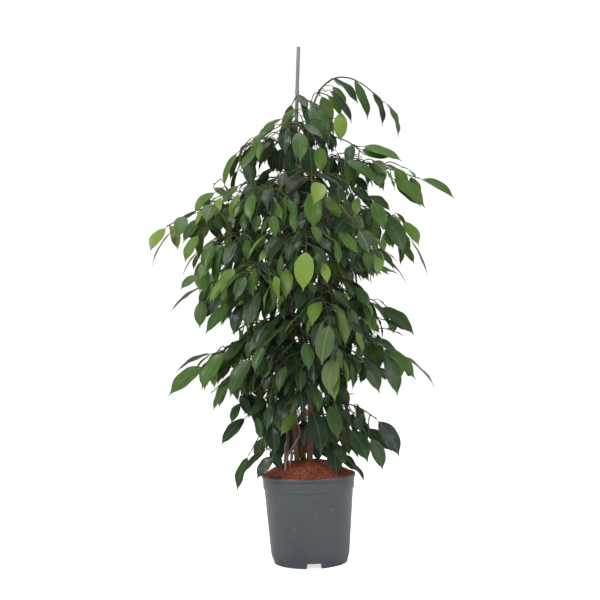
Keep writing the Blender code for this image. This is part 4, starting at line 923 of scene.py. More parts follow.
def plainLeaf(path, radii, base, heading, pitches, side, length, thickness):
    # the solid part's leaf, used here only to keep leaves clear of each other
    outline = leafValues["outline"]
    flat = level(heading)
    stations = []
    point = base
    previous = 0.0
    for place in [place for place, _ in outline] + [1.0]:
        pitch = pitches[0] + (pitches[1] - pitches[0]) * (place + previous) / 2
        along = falling(flat, pitch)
        point = point + along * length * (place - previous)
        stations.append((point, along.cross(side).normalized()))
        previous = place
    half = length * leafValues["halfWidth"]
    wood = tube(path + [base], radii + [leafValues["stalkRadius"]], 3)[0][:-3]
    centre = path[-1]
    stalkUp = (base - centre).cross(side).normalized()
    ring = stalkRing(base, side, (stalkUp + stations[0][1]).normalized(), leafValues["stalkRadius"])
    turn = max(range(3), key=lambda t: sum((wood[len(wood) - 3 + (k + t) % 3] - centre).dot(ring[k] - base)
                                           for k in range(3)))
    points = [wood[a + (k + turn) % 3] for a in range(0, len(wood), 3) for k in range(3)] + ring
    faces = [(0, 2, 1)]
    for a in range(0, len(wood), 3):
        for k in range(3):
            n = (k + 1) % 3
            faces += [(a + k, a + n, a + 3 + n), (a + k, a + 3 + n, a + 3 + k)]
    for (point, rise), (_, share) in list(zip(stations, outline))[1:]:
        for sign in (1, -1):
            edge = point + side * sign * half * share
            points += [edge + rise * thickness / 2, edge - rise * thickness / 2]
    points.append(stations[-1][0])
    c = len(wood)
    faces += [(c, c + 1, c + 5), (c, c + 5, c + 3), (c + 2, c + 4, c + 6), (c, c + 3, c + 4), (c, c + 4, c + 2),
              (c + 1, c + 6, c + 5), (c + 1, c + 2, c + 6)]
    last = c + 3 + 4 * (len(outline) - 2)
    for a in range(c + 3, last, 4):
        b = a + 4
        faces += [(a, a + 2, b + 2), (a, b + 2, b), (a + 1, b + 3, a + 3), (a + 1, b + 1, b + 3),
                  (a, b, b + 1), (a, b + 1, a + 1), (a + 2, b + 3, b + 2), (a + 2, a + 3, b + 3)]
    tip = last + 4
    faces += [(last, last + 2, tip), (last + 1, tip, last + 3), (last, tip, last + 1), (last + 2, last + 3, tip)]
    return points, faces


def crossesItself(points, faces):
    tree = BVHTree.FromPolygons(points, faces)
    return any(a < b and not set(faces[a]) & set(faces[b]) for a, b in tree.overlap(tree))


def ballRound(points):
    centre = sum(points, Vector()) / len(points)
    return centre, max((p - centre).length for p in points)


class Space:
    # what has been placed so far, in a grid of cells, so that nothing new is put through it
    cell = 0.12

    def __init__(self):
        self.cells = {}

    def around(self, centre, radius):
        low = [math.floor((c - radius) / self.cell) for c in centre]
        high = [math.floor((c + radius) / self.cell) for c in centre]
        return [(x, y, z) for x in range(low[0], high[0] + 1) for y in range(low[1], high[1] + 1)
                for z in range(low[2], high[2] + 1)]

    def add(self, points, faces, owner):
        centre, radius = ballRound(points)
        thing = (centre, radius, BVHTree.FromPolygons(points, faces), owner)
        for key in self.around(centre, radius):
            self.cells.setdefault(key, []).append(thing)

    def free(self, points, faces, skip=()):
        centre, radius = ballRound(points)
        tree = None
        seen = set()
        for key in self.around(centre, radius):
            for thing in self.cells.get(key, ()):
                otherCentre, otherRadius, other, owner = thing
                if id(thing) in seen or owner in skip:
                    continue
                seen.add(id(thing))
                if (centre - otherCentre).length > radius + otherRadius:
                    continue
                tree = tree or BVHTree.FromPolygons(points, faces)
                if tree.overlap(other):
                    return False
        return True


def placeLeaf(space, chance, owner, point, along, stalkWay, outward, wood=None, habit=plannedHabit):
    # turned until it hangs clear of everything
    stalk = leafValues["stalk"]
    radius = leafValues["stalkRadius"]
    tries = leafValues["tries"]
    thickness = leafValues["thickness"]
    tight, looser = leafValues["loose"]
    stray = leafValues["stalkStray"]
    onward, outside = leafValues["aimShares"]
    length = chance.uniform(*habit["length"]) * (leafValues["terminalSize"] if wood else 1.0)
    for attempt in range(tries):
        loose = tight + looser * attempt / tries
        way = stalkWay + Vector([chance.uniform(-stray, stray) * loose for _ in range(3)])
        way.normalize()
        if way.dot(along) < leafValues["leastAlong"] if wood else abs(way.dot(along)) > leafValues["mostAlong"]:
            continue
        base = point + way * (stalk + leafValues["stalkExtra"])
        aim = way * Vector((1, 1, 0)) * onward + outward * outside
        heading = math.atan2(aim.y, aim.x) + chance.gauss(0, habit["stray"]) * (0.5 + loose)
        start = math.radians(chance.uniform(*habit["fall"]) + leafValues["fallStray"] * chance.uniform(-1, 1) * loose)
        end = start + math.radians(chance.uniform(*leafValues["bladeArch"]))
        roll = chance.gauss(0, habit["roll"]) * (0.6 + loose)
        size = length * (1 - leafValues["shrink"] * attempt / tries)
        flat = level(heading)
        side = leafSide(heading, (start, end), roll)
        if way.dot(falling(flat, start)) < leafValues["leastFall"] or abs(way.dot(side)) > leafValues["mostAside"]:
            continue
        wide = plainLeaf([point + way * stalk * 0.6], [radius], base, heading, (start, end), side,
                         size * leafValues["wideBlade"], thickness + 2 * leafValues["clearance"])
        stem = tube([point + way * leafValues["stalkSkip"], base], leafValues["stalkClear"], 3)
        path, radii = wood or ([point - way * 0.0002], [0.0005])
        leaf = plainLeaf(path, radii, base, heading, (start, end), side, size, thickness)
        clear = space.free(*wide) and space.free(*stem, skip=[owner])
        if habit is fullerHabit and hidesSetLeaf(bladeMiddle(base, heading, (start, end), size)):
            continue
        if clear and all(within(p) for p in leaf[0][-9:]) and not crossesItself(*leaf):
            space.add(*wide, owner=None)
            space.add(*stem, owner=None)
            return {"root": point, "way": way, "base": base, "heading": heading, "pitches": (start, end),
                    "side": side, "length": size}
    return None


def within(point):
    # inside the plant's outline, and clear of the bare foot of its stems
    left, right, top = outlineValues["bareFoot"]
    if point.z < top and point.y < 0 and left < point.x < right:
        return False
    reach = outlineValues["reach"]
    for (low, lowLeft, lowRight), (high, highLeft, highRight) in zip(reach, reach[1:]):
        if low <= point.z <= high:
            share = (point.z - low) / (high - low)
            near, far = (lowLeft, highLeft) if point.x < 0 else (lowRight, highRight)
            limit = near + (far - near) * share
            return (point.x / limit) ** 2 + (point.y / outlineValues["depth"]) ** 2 <= 1
    return False


def setLeaf(start, leaf):
    base, tip, facing = (Vector(v) for v in leaf[:3])
    chord = tip - base
    along = chord.normalized()
    side = facing.cross(along).normalized()
    way = (base - start).normalized() * 0.7 + along * 0.7 + up * 0.1
    way = (way - side * way.dot(side) * 0.7).normalized()
    pitch = math.asin(-along.z)
    bend = leafValues["setArch"]
    blade = (base, math.atan2(chord.y, chord.x), (pitch - bend, pitch + bend), side, chord.length * 1.01)
    return blade, base - way * leafValues["stalk"]


def stalkRoot(twigs, blade):
    # the twig, and the point on it, that a leaf's stalk best leaves from
    base, heading, pitches, side, _ = blade
    fall = falling(level(heading), pitches[0])

    def cost(place):
        k, share = place
        reach = base - pathPoint(twigs[k][0], share)
        way = reach.normalized()
        bend = abs(way.dot(pathWay(twigs[k][0], share)) - 0.5) + max(0.3 - way.dot(fall), 0) * 3
        return abs(reach.length - leafValues["stalk"]) * 60 + bend + abs(way.dot(side))

    first, step, count = leafValues["rootPlaces"]
    k, share = min(((k, first + step * n) for k in range(len(twigs)) for n in range(count)), key=cost)
    return k, pathPoint(twigs[k][0], share)


def sidePaths(path, foot, arrival):
    def cost(share):
        reach = foot - pathPoint(path, share)
        lean = abs(reach.normalized().dot(pathWay(path, share)) - 0.4)
        return abs(reach.length - twigValues["setTwig"]) * 15 + lean

    first, step, count = twigValues["forkPlaces"]
    for share in sorted((first + step * n for n in range(count)), key=cost)[:leafValues["twigTries"]]:
        yield arch(pathPoint(path, share), foot, twigValues["rise"], twigValues["twigRings"], 0, arrival)


def beyond(path, distance):
    return [path[0] + (path[1] - path[0]).normalized() * distance] + path[1:]


def sideTwig(space, chance, path, place, length, sign, owner, name):
    # a short twig off a branch, turned until it is clear
    stray = twigValues["placeStray"]
    for attempt in range(leafValues["tries"]):
        shift = place + chance.uniform(-stray, stray) * (1 + attempt / 10)
        at = pathPoint(path, shift)
        along = pathWay(path, shift)
        side = up.cross(along).normalized() * sign
        way = (along * twigValues["onWay"] + side * chance.uniform(*twigValues["sideWay"])
               + up * chance.uniform(*twigValues["upWay"])).normalized()
        end = at + way * length * chance.uniform(*twigValues["lengths"]) - up * length * twigValues["droop"]
        sidePath = arch(at, end, twigValues["rise"], twigValues["twigRings"])
        test = tube(beyond(sidePath, twigValues["forkSkip"]), twigValues["twigClear"], 4)
        if within(end) and space.free(*test, skip=[(name, 0)]):
            space.add(*test, owner=owner)
            return sidePath
    return None


def growBranch(space, chance, name):
    # twigs as path, radii, blade at the end and its age, and leaves beside them as root, blade, age and twig
    stem, height, tip, rise = branchValues[name]
    tip = Vector(tip)
    branchRadii = twigValues["branchRadii"]
    twigRadii = twigValues["twigRadii"]
    chosen = setLeaves.get(name, [])
    own = [(name, "set", k) for k in range(len(chosen))]
    blade = None
    tries = leafValues["branchTries"]
    for attempt in range(tries):
        start = stemPoint(stem, height - twigValues["stemShift"] * attempt * (1 if attempt % 2 else -1) / 2)
        arrival = None
        if chosen:
            blade, tip = setLeaf(start, chosen[0])
            arrival = (blade[0] - tip).normalized()
        bend = rise * chance.uniform(*twigValues["branchRise"])
        sway = chance.uniform(*twigValues["branchSway"])
        path = arch(start, tip, bend, twigValues["branchRings"] + 1, sway, arrival)
        test = tube(beyond(path, twigValues["stemSkip"]), twigValues["branchClear"], 5)
        if space.free(*test, skip=own[:1] if attempt < tries / 2 else own):
            break
    twigs = [(path, branchRadii, blade, chosen[0][3] if chosen else None)]
    beside = []
    space.add(*test, owner=(name, 0))
    for k, leaf in enumerate(chosen[1:], 1):
        blade, foot = setLeaf(start, leaf)
        wood = [(name, n) for n in range(len(twigs))]
        twig, root = stalkRoot(twigs, blade)
        if (blade[0] - root).length < leafValues["longStalk"]:
            stalk = tube([root.lerp(blade[0], 0.2), blade[0]], leafValues["stalkClear"], 3)
            if space.free(*stalk, skip=own + wood + [(name, "stalk")]):
                space.add(*stalk, owner=(name, "stalk"))
                beside.append((root, blade, leaf[3], twig))
            continue
        arrival = (blade[0] - foot).normalized()
        for number, sidePath in enumerate(list(sidePaths(path, foot, arrival)) * 2):
            test = tube(beyond(sidePath, twigValues["forkSkip"]), twigValues["twigClear"], 4)
            strict = number < leafValues["twigTries"]
            if space.free(*test, skip=[own[k], (name, 0)] if strict else own + wood):
                space.add(*test, owner=(name, len(twigs)))
                twigs.append((sidePath, twigRadii, blade, leaf[3]))
                break
    if chosen[1:]:
        return twigs, beside
    reach = (path[-1] - path[0]).length
    wanted = twigValues["sideTwigs"]
    for k, (place, length) in enumerate(wanted[:1] if reach < twigValues["shortBranch"] else wanted):
        sign = 1 if (k + len(name)) % 2 else -1
        found = sideTwig(space, chance, path, place, length, sign, (name, len(twigs)), name)
        if found:
            twigs.append((found, twigRadii, None, None))
    return twigs, beside


def knownLeaf(root, blade, age, twig, terminal):
    base, heading, pitches, side, size = blade
    return {"root": root, "way": (base - root).normalized(), "base": base, "heading": heading,
            "pitches": pitches, "side": side, "length": size, "age": age, "twig": twig, "terminal": terminal}


def growLeaves(space, chance, name, twigs, beside):
    leaves = [knownLeaf(root, blade, age, twig, False) for root, blade, age, twig in beside]
    for k, (path, radii, blade, age) in enumerate(twigs):
        wood = (path, taper(radii, len(path)))
        length = sum((b - a).length for a, b in zip(path, path[1:]))
        bare = leafValues["firstLeaf" if k == 0 else "firstSideLeaf"]
        count = 0 if name == "branch_crown" else max(1, round(length * (1 - bare) / leafValues["spacing"]))
        if blade:
            leaves.append(knownLeaf(path[-1], blade, age, k, True))
        for n in range(count, -1 if k == 0 else 0, -1):
            terminal = n == count
            if terminal and blade:
                continue
            share = bare + (1 - bare) * n / count
            point = pathPoint(path, share)
            along = pathWay(path, share)
            side = up.cross(along).normalized() * (1 if n % 2 else -1)
            lift = up * chance.uniform(*leafValues["lift"])
            way = along if terminal else (along * 0.5 + side * 0.8 + lift).normalized()
            outward = (point * Vector((1, 1, 0))).normalized()
            leaf = placeLeaf(space, chance, (name, k), point, along, way, outward, wood if terminal else None)
            if leaf:
                leaf["twig"] = k
                leaf["terminal"] = terminal
                leaves.append(leaf)
    return leaves


def growSolidPlan():
    chance = random.Random(leafValues["seed"])
    space = Space()
    for name in stemValues:
        line, radii = stemLine(name)
        space.add(*tube(line, [r + leafValues["clearance"] for r in radii], 6), owner=name)
    space.add(*tube([caneFoot, caneTop], caneClear, 6), owner="cane")
    wideEnough = leafValues["thickness"] + 2 * leafValues["clearance"]
    for name, leaves in setLeaves.items():
        start = stemPoint(*branchValues[name][:2])
        for k, leaf in enumerate(leaves):
            blade, foot = setLeaf(start, leaf)
            wide = plainLeaf([foot], [leafValues["stalkRadius"]], *blade, wideEnough)
            space.add(*wide, owner=(name, "set", k))
    order = sorted(branchValues, key=lambda name: name not in setLeaves)
    wood = {name: growBranch(space, chance, name) for name in order}
    leaves = {name: growLeaves(space, chance, name, *wood[name]) for name in order}
    twigs = {name: [twig[:2] for twig in wood[name][0]] for name in order}
    return space, order, twigs, leaves


space, growOrder, branchTwigs, branchLeaves = growSolidPlan()
print("solid plan:", sum(map(len, branchTwigs.values())), "twigs,", sum(map(len, branchLeaves.values())), "leaves")


# Fuller foliage: more side twigs and more leaves between the first ones, on the same branches

fullerValues = {
    "seed": 29,
    "twigPlaces": (0.06, 0.13, 0.20, 0.29, 0.38, 0.47, 0.56, 0.65, 0.74, 0.86),
    "twigLength": (0.055, 0.100),
    "twigShortening": (1.15, 0.35),  # times the length at the stem, and how much less at the tip
    "twigNumbers": 10,  # the first of them
    "leafSpacing": 0.018,
    "sparse": {"branch_right_02": 2.4, "branch_right_03": 1.4},  # times the spacing
    "bare": 0.22,  # share of a twig without leaves
    "lift": (-0.2, 0.3),
}

# More leaves as the outline's own are written, mostly old ones that close its gaps; their low ages also paint the
# shade inside the crown
gapLeaves = {
    "branch_crown": [
        ((0.077, -0.034, 1.06), (0.103, -0.04, 1.009), (0.3, -0.75, 0.55), 0.44),
    ],
    "branch_left_02": [
        ((-0.124, -0.005, 0.904), (-0.114, -0.01, 0.838), (-0.2, -0.95, 0.2), 0.36),
        ((-0.059, 0.03, 0.94), (-0.064, 0.034, 0.878), (0.1, -0.97, 0.2), 0.05),
        ((-0.043, 0.02, 0.931), (-0.05, 0.024, 0.871), (0.1, -0.97, 0.2), 0.1),
    ],
    "branch_back_01": [
        ((-0.024, 0.045, 0.945), (-0.023, 0.05, 0.88), (0.1, -0.97, 0.2), 0.04),
        ((-0.006, 0.04, 0.934), (-0.006, 0.046, 0.877), (-0.2, -0.95, 0.2), 0.02),
        ((0.012, 0.052, 0.939), (0.011, 0.058, 0.876), (0.1, -0.97, 0.2), 0.04),
    ],
    "branch_back_02": [
        ((-0.017, 0.06, 0.847), (-0.014, 0.066, 0.779), (0.1, -0.97, 0.2), 0.02),
    ],
    "branch_back_03": [
        ((-0.004, 0.074, 0.83), (-0.008, 0.08, 0.76), (0.1, -0.97, 0.2), 0.02),
        ((0.031, 0.056, 0.92), (0.028, 0.06, 0.869), (0.1, -0.97, 0.2), 0.04),
    ],
    "branch_left_03": [
        ((-0.201, 0.02, 0.844), (-0.165, 0.016, 0.817), (-0.1, -0.75, 0.65), 0.5),
    ],
    "branch_left_04": [
        ((-0.267, -0.01, 0.751), (-0.237, -0.016, 0.715), (-0.3, -0.85, 0.4), 0.34),
        ((-0.211, -0.006, 0.752), (-0.179, -0.01, 0.717), (-0.1, -0.85, 0.5), 0.08),
    ],
    "branch_left_08": [
        ((-0.184, -0.01, 0.6), (-0.225, -0.016, 0.535), (-0.3, -0.9, 0.3), 0.26),
    ],
    "branch_right_03": [
        ((0.11, -0.045, 0.824), (0.152, -0.052, 0.788), (0.1, -0.8, 0.6), 0.16),
        ((0.155, 0.0, 0.813), (0.202, -0.006, 0.777), (0.1, -0.75, 0.65), 0.42),
        ((0.132, -0.02, 0.819), (0.157, -0.026, 0.775), (0.1, -0.9, 0.4), 0.14),
    ],
    "branch_right_07": [
        ((0.187, -0.006, 0.528), (0.238, -0.01, 0.502), (0.1, -0.75, 0.65), 0.36),
    ],
    "branch_left_11": [
        ((-0.025, -0.045, 0.32), (-0.066, -0.06, 0.287), (0.05, -0.62, 0.78), 0.16),
        ((-0.147, -0.03, 0.369), (-0.127, -0.034, 0.322), (-0.2, -0.95, 0.2), 0.12),
        ((-0.147, -0.036, 0.367), (-0.094, -0.042, 0.335), (0.05, -0.85, 0.52), 0.14),
        ((-0.179, -0.01, 0.398), (-0.196, -0.014, 0.343), (-0.3, -0.92, 0.25), 0.46),
    ],
    "branch_left_12": [
        ((-0.075, -0.052, 0.308), (-0.079, -0.058, 0.25), (-0.25, -0.95, 0.2), 0.04),
        ((-0.053, -0.022, 0.296), (-0.069, -0.034, 0.231), (-0.1, -0.95, 0.25), 0.05),
        ((-0.035, 0.022, 0.287), (-0.044, 0.026, 0.222), (0.1, -0.97, 0.2), 0.02),
        ((-0.083, -0.04, 0.248), (-0.059, -0.046, 0.204), (-0.1, -0.9, 0.4), 0.04),
    ],
    "branch_right_10": [
        ((0.019, -0.036, 0.313), (0.025, -0.046, 0.231), (0.35, -0.9, 0.25), 0.05),
        ((0.009, 0.024, 0.299), (0.01, 0.03, 0.229), (0.1, -0.97, 0.2), 0.03),
        ((-0.003, -0.05, 0.299), (-0.007, -0.056, 0.256), (-0.2, -0.95, 0.2), 0.08),
        ((0.025, 0.004, 0.278), (0.023, 0.008, 0.213), (0.1, -0.97, 0.2), 0.04),
        ((0.071, -0.02, 0.233), (0.108, -0.028, 0.196), (0.2, -0.85, 0.45), 0.12),
        ((0.054, -0.056, 0.266), (0.058, -0.066, 0.191), (-0.15, -0.95, 0.25), 0.14),
        ((0.017, 0.03, 0.247), (0.059, 0.034, 0.216), (0, -0.85, 0.55), 0.03),
    ],
    "branch_right_02": [
        ((0.214, -0.034, 0.835), (0.265, -0.04, 0.779), (0.1, -0.93, 0.35), 0.5),
        ((0.138, -0.036, 0.911), (0.204, -0.042, 0.888), (0, -0.92, 0.4), 0.5),
        ((0.119, -0.02, 0.854), (0.152, -0.026, 0.82), (0.1, -0.85, 0.5), 0.16),
    ],
    "branch_left_05": [
        ((-0.158, 0.0, 0.745), (-0.146, -0.004, 0.699), (-0.2, -0.95, 0.2), 0.1),
    ],
    "branch_left_01": [
        ((-0.057, -0.012, 0.98), (-0.097, -0.016, 0.942), (-0.2, -0.85, 0.5), 0.42),
    ],
    "branch_front_01": [
        ((-0.029, -0.045, 0.961), (-0.035, -0.052, 0.892), (-0.1, -0.95, 0.3), 0.07),
        ((-0.024, -0.046, 0.908), (-0.025, -0.053, 0.84), (0, -0.95, 0.3), 0.04),
        ((0.019, -0.042, 0.913), (0.022, -0.05, 0.839), (0.1, -0.95, 0.3), 0.08),
    ],
    "branch_front_02": [
        ((-0.011, -0.052, 0.882), (-0.01, -0.06, 0.813), (0, -0.95, 0.3), 0.04),
        ((0.015, -0.046, 0.849), (0.011, -0.054, 0.783), (0.1, -0.95, 0.3), 0.05),
        ((-0.014, -0.052, 0.826), (-0.018, -0.06, 0.765), (-0.1, -0.95, 0.3), 0.03),
    ],
}
gapShifts = (0.0, 0.008, -0.008, 0.018, -0.018, 0.030, -0.030)  # forward or back, until the leaf is clear
keptClear = (0.024, 0.012, 0.034)  # no fuller leaf hangs this near in front of a leaf that is set


def shiftedLeaf(leaf, shift):
    base, tip, facing, age = leaf
    return (base[0], base[1] + shift, base[2]), (tip[0], tip[1] + shift, tip[2]), facing, age


def growGaps(space):
    for name, leaves in gapLeaves.items():
        start = stemPoint(*branchValues[name][:2])
        paths = [path for path, _ in branchTwigs[name]]
        for leaf in leaves:
            own = [(name, twig) for twig in range(len(branchTwigs[name]))]
            for shift in gapShifts:
                blade, foot = setLeaf(start, shiftedLeaf(leaf, shift))
                wide = plainLeaf([foot], [leafValues["stalkRadius"]], *blade,
                                 leafValues["thickness"] + leafValues["clearance"])
                if space.free(*wide, skip=own):
                    break
            k, root = stalkRoot([(path,) for path in paths], blade)
            if (blade[0] - root).length > leafValues["longStalk"]:
                k = len(branchTwigs[name])
                arrival = (blade[0] - foot).normalized()
                for path in sidePaths(paths[0], foot, arrival):
                    test = tube(beyond(path, twigValues["forkSkip"]), twigValues["gapTwigClear"], 4)
                    if space.free(*test, skip=own):
                        break
                root = path[-1]
                branchTwigs[name].append((path, twigValues["twigRadii"]))
                space.add(*test, owner=(name, k))
            space.add(*wide, owner=None)
            branchLeaves[name].append(knownLeaf(root, blade, leaf[3], k, False))


def bladeMiddle(base, heading, pitches, length):
    middle = sum(pitches) / 2
    flat = level(heading)
    return base + falling(flat, middle) * length * 0.45


def hidesSetLeaf(middle):
    aside, ahead, above = keptClear
    return any(middle.y < other.y - ahead and abs(middle.x - other.x) < aside and abs(middle.z - other.z) < above
               for other in setMiddles)


def growFuller(space, values):
    chance = random.Random(values["seed"])
    most, less = values["twigShortening"]
    bare = values["bare"]
    for name in growOrder:
        if name == "branch_crown":
            continue
        main = branchTwigs[name][0][0]
        plan = [(path, k, False) for k, (path, _) in enumerate(branchTwigs[name])]
        for n, place in enumerate(values["twigPlaces"]):
            if n % 2 and values["sparse"].get(name, 1) > 2:
                continue
            length = chance.uniform(*values["twigLength"]) * (most - less * place)
            number = values["twigNumbers"] + n
            found = sideTwig(space, chance, main, place, length, 1 if n % 2 else -1, (name, number), name)
            if found:
                plan.append((found, number, True))
        for path, k, side in plan:
            fresh = side
            length = sum((b - a).length for a, b in zip(path, path[1:]))
            spacing = values["leafSpacing"] * values["sparse"].get(name, 1)
            count = max(2, round(length * (1 - bare) / spacing))
            for n in range(count, -1, -1):
                terminal = n == count
                if terminal and not side:
                    continue
                share = bare + (1 - bare) * (n if side else n + 0.5) / count
                point = pathPoint(path, share)
                along = pathWay(path, share)
                aside = up.cross(along).normalized() * (-1 if n % 2 else 1)
                lift = up * chance.uniform(*values["lift"]) if not terminal else None
                way = along if terminal else (along * 0.5 + aside * 0.8 + lift).normalized()
                outward = (point * Vector((1, 1, 0))).normalized()
                wood = (path, taper(twigValues["twigRadii"], len(path))) if terminal else None
                leaf = placeLeaf(space, chance, (name, k), point, along, way, outward, wood, fullerHabit)
                if leaf:
                    leaf["twig"] = k
                    leaf["terminal"] = terminal
                    branchLeaves[name].append(leaf)
                    if fresh:
                        branchTwigs[name].append((path, twigValues["twigRadii"]))
                        fresh = False


growGaps(space)
setMiddles = [bladeMiddle(leaf["base"], leaf["heading"], leaf["pitches"], leaf["length"])
              for leaves in branchLeaves.values() for leaf in leaves if "age" in leaf]
growFuller(space, fullerValues)
print("fuller:", sum(map(len, branchTwigs.values())), "twigs,", sum(map(len, branchLeaves.values())), "leaves")


# One leaf as it is seen: a folded, arched blade with a drip tip on a fine stalk

bladeValues = {
    # way along the blade and share of the half width
    "outline": ((0.0, 0.05), (0.03, 0.23), (0.08, 0.46), (0.15, 0.69), (0.24, 0.88), (0.34, 0.98), (0.44, 1.0),
                (0.54, 0.97), (0.63, 0.88), (0.71, 0.73), (0.78, 0.53), (0.84, 0.30), (0.90, 0.115), (0.96, 0.05)),
    "halfWidth": 0.223,  # of the length
    "widths": (0.93, 1.06),  # shares of it, on leaves that make the outline and on the others
    "ruleWidths": (0.80, 1.04),
    "ruleLengths": (0.84, 0.98),
    "columns": (-1.0, -0.55, 0.0, 0.55, 1.0),
    "fold": 0.26,  # how steeply the halves rise from the midrib
    "folds": (0.4, 1.5),  # shares of it
    "ruleFolds": (0.4, 2.2),
    "lipDown": 0.15,  # how far the edges turn back down
    "ripple": 0.075,
    "ripples": (0.3, 1.5),
    "waves": (1.4, 2.6),
    "phases": (0, 6.28),
    "twist": 0.10,
    "ruleTwist": 0.30,
    "sway": 0.030,
    "halfThick": 0.00022,
    "midribThick": 0.00050,
    "tipCurl": 0.35,
    "tipCurls": (-0.2, 1.0),
    "tipFrom": 0.80,
    "stalkRadii": (0.00095, 0.00070),
}


def bladeMesh(leaf, chance, values=bladeValues):
    known = "age" in leaf
    length = leaf["length"] * (1.0 if known else chance.uniform(*values["ruleLengths"]))
    half = length * values["halfWidth"] * chance.uniform(*values["widths" if known else "ruleWidths"])
    low, high = leaf["pitches"]
    flat = level(leaf["heading"])
    fold = values["fold"] * chance.uniform(*values["folds" if known else "ruleFolds"])
    ripple = values["ripple"] * chance.uniform(*values["ripples"])
    waves = chance.uniform(*values["waves"])
    phase = [chance.uniform(*values["phases"]) for _ in range(2)]
    twist = chance.gauss(0, values["twist" if known else "ruleTwist"])
    sway = chance.gauss(0, values["sway"])
    curl = values["tipCurl"] * chance.uniform(*values["tipCurls"])
    side = leaf["side"]
    columns = values["columns"]
    points, along, out = [], [], []
    centre = leaf["base"].copy()
    previous = 0.0
    outline = values["outline"]
    for place, share in outline + ((1.0, 0.0),):
        middle = (place + previous) / 2
        pitch = low + (high - low) * middle + curl * max(middle - values["tipFrom"], 0) * 3
        way = falling(flat, pitch)
        centre = centre + way * length * (place - previous)
        previous = place
        turned = Matrix.Rotation(twist * place, 3, way) @ side
        rise = way.cross(turned).normalized()
        middlePoint = centre + side * (sway * length * place ** 2)
        if place == 1.0:
            points.append(middlePoint)
            along.append(length)
            out.append(0.0)
            break
        width = half * share
        lift = []
        for s in columns:
            wave = math.sin(2 * math.pi * waves * place + phase[0 if s < 0 else 1])
            lift.append(width * (fold * abs(s) - values["lipDown"] * s * s + ripple * s * s * wave))
        thick = min(values["halfThick"], width * 0.3)
        rib = min(values["midribThick"], width * 0.5)
        for s, h in zip(columns, lift):
            shade = thick if s not in (-1.0, 1.0) else 0.0
            points.append(middlePoint + turned * width * s + rise * (h + (0.0 if s == 0 else shade)))
            along.append(place * length)
            out.append(width * s)
        for s, h in list(zip(columns, lift))[1:-1]:
            points.append(middlePoint + turned * width * s + rise * (h - (rib if s == 0 else thick)))
            along.append(place * length)
            out.append(width * s)
    rows = len(outline)
    last = len(columns) - 1
    perRow = 2 * last  # both faces share their edge points

    def topPoint(i, j):
        return i * perRow + j

    def lowPoint(i, j):
        return i * perRow + (j if j in (0, last) else last + j)

    faces = [tuple([topPoint(0, j) for j in range(last + 1)] + [lowPoint(0, j) for j in range(last - 1, 0, -1)])]
    slots = [1]
    for i in range(rows - 1):
        for j in range(last):
            faces.append((topPoint(i, j), topPoint(i + 1, j), topPoint(i + 1, j + 1), topPoint(i, j + 1)))
            faces.append((lowPoint(i, j), lowPoint(i, j + 1), lowPoint(i + 1, j + 1), lowPoint(i + 1, j)))
            slots += [0, 1]
    tip = rows * perRow
    for j in range(last):
        faces.append((topPoint(rows - 1, j), tip, topPoint(rows - 1, j + 1)))
        faces.append((lowPoint(rows - 1, j), lowPoint(rows - 1, j + 1), tip))
        slots += [0, 1]
    return points, faces, slots, along, out


def stalkPath(leaf):
    low = leaf["pitches"][0]
    flat = level(leaf["heading"])
    start = falling(flat, low)
    reach = leafValues["stalk"]
    root = leaf["root"]
    return bezier(root, root + leaf["way"] * reach * 0.45, leaf["base"] - start * reach * 0.40,
                  leaf["base"] + start * 0.0012, 6)


# How old each leaf looks: fresh ones towards the outside, the tips and the top. Lighter towards the outside and the
# top is also painted light, and darker towards the middle is painted shade inside the crown

ageAndShadeValues = {
    "seed": 7,
    "base": 0.04,
    # painted light and shade: lighter towards the outside of the crown, darker towards its middle, where it is in
    # shade
    "outsideLightShare": 0.58,
    "outsideLightReach": 0.22,
    "outsideLightPower": 1.8,
    "outsideLightDepthShare": 0.35,
    # painted light: lighter towards the top
    "topLightShare": 0.06,
    "topLightFrom": 0.35,
    "topLightTo": 1.00,
    "terminalShare": 0.14,
    "scatter": 0.16,
    "youngChance": 0.085,
    "youngAge": (0.74, 0.98),
    "limits": (0.02, 0.96),
}


def leafAgeAndShade(leaf, chance, values):
    base = leaf["base"]
    reach = math.hypot(base.x, values["outsideLightDepthShare"] * base.y)
    outer = min(reach / values["outsideLightReach"], 1.0) ** values["outsideLightPower"]
    high = (base.z - values["topLightFrom"]) / (values["topLightTo"] - values["topLightFrom"])
    high = max(0.0, min(high, 1.0))
    # painted shade towards the middle and painted light towards the outside and top, added to the leaf's age
    age = values["base"] + values["outsideLightShare"] * outer + values["topLightShare"] * high
    age += values["terminalShare"] if leaf["terminal"] else 0.0
    age += chance.gauss(0, values["scatter"])
    young = chance.random() < values["youngChance"] * (0.4 + outer + 0.8 * high)
    if young:
        age = chance.uniform(*values["youngAge"])
    lowest, highest = values["limits"]
    return leaf.get("age", max(lowest, min(age, highest)))


# Foliage pieces: one for each leafy branch

budValues = {
    "length": (0.006, 0.010),
    "places": (0.0, 0.35, 0.75, 1.0),
    "radii": (0.0009, 0.0012, 0.0008, 0.00015),
}


def shownTwig(shape, path, radii, age, chance):
    count = 4 * (len(path) - 1) + 1
    line = smoothPath(path, count)
    sizes = [r * twigValues["shownThinner"] * (1 + 0.07 * chance.uniform(-1, 1)) for r in taper(radii, count)]
    sizes[0] *= 1.35
    sizes[1] *= 1.15
    points, faces = tube(line, sizes, twigValues["sides"])
    ages = [age + (1 - age) * 0.6 * (k // twigValues["sides"]) / count for k in range(len(points))]
    shape.add(points, faces, 2, age=ages)


def shownBud(shape, at, way, length):
    # the pointed sheath that ends each shoot
    points, faces = tube([at + way * length * share for share in budValues["places"]], budValues["radii"], 6)
    shape.add(points, faces, 2, age=0.95)


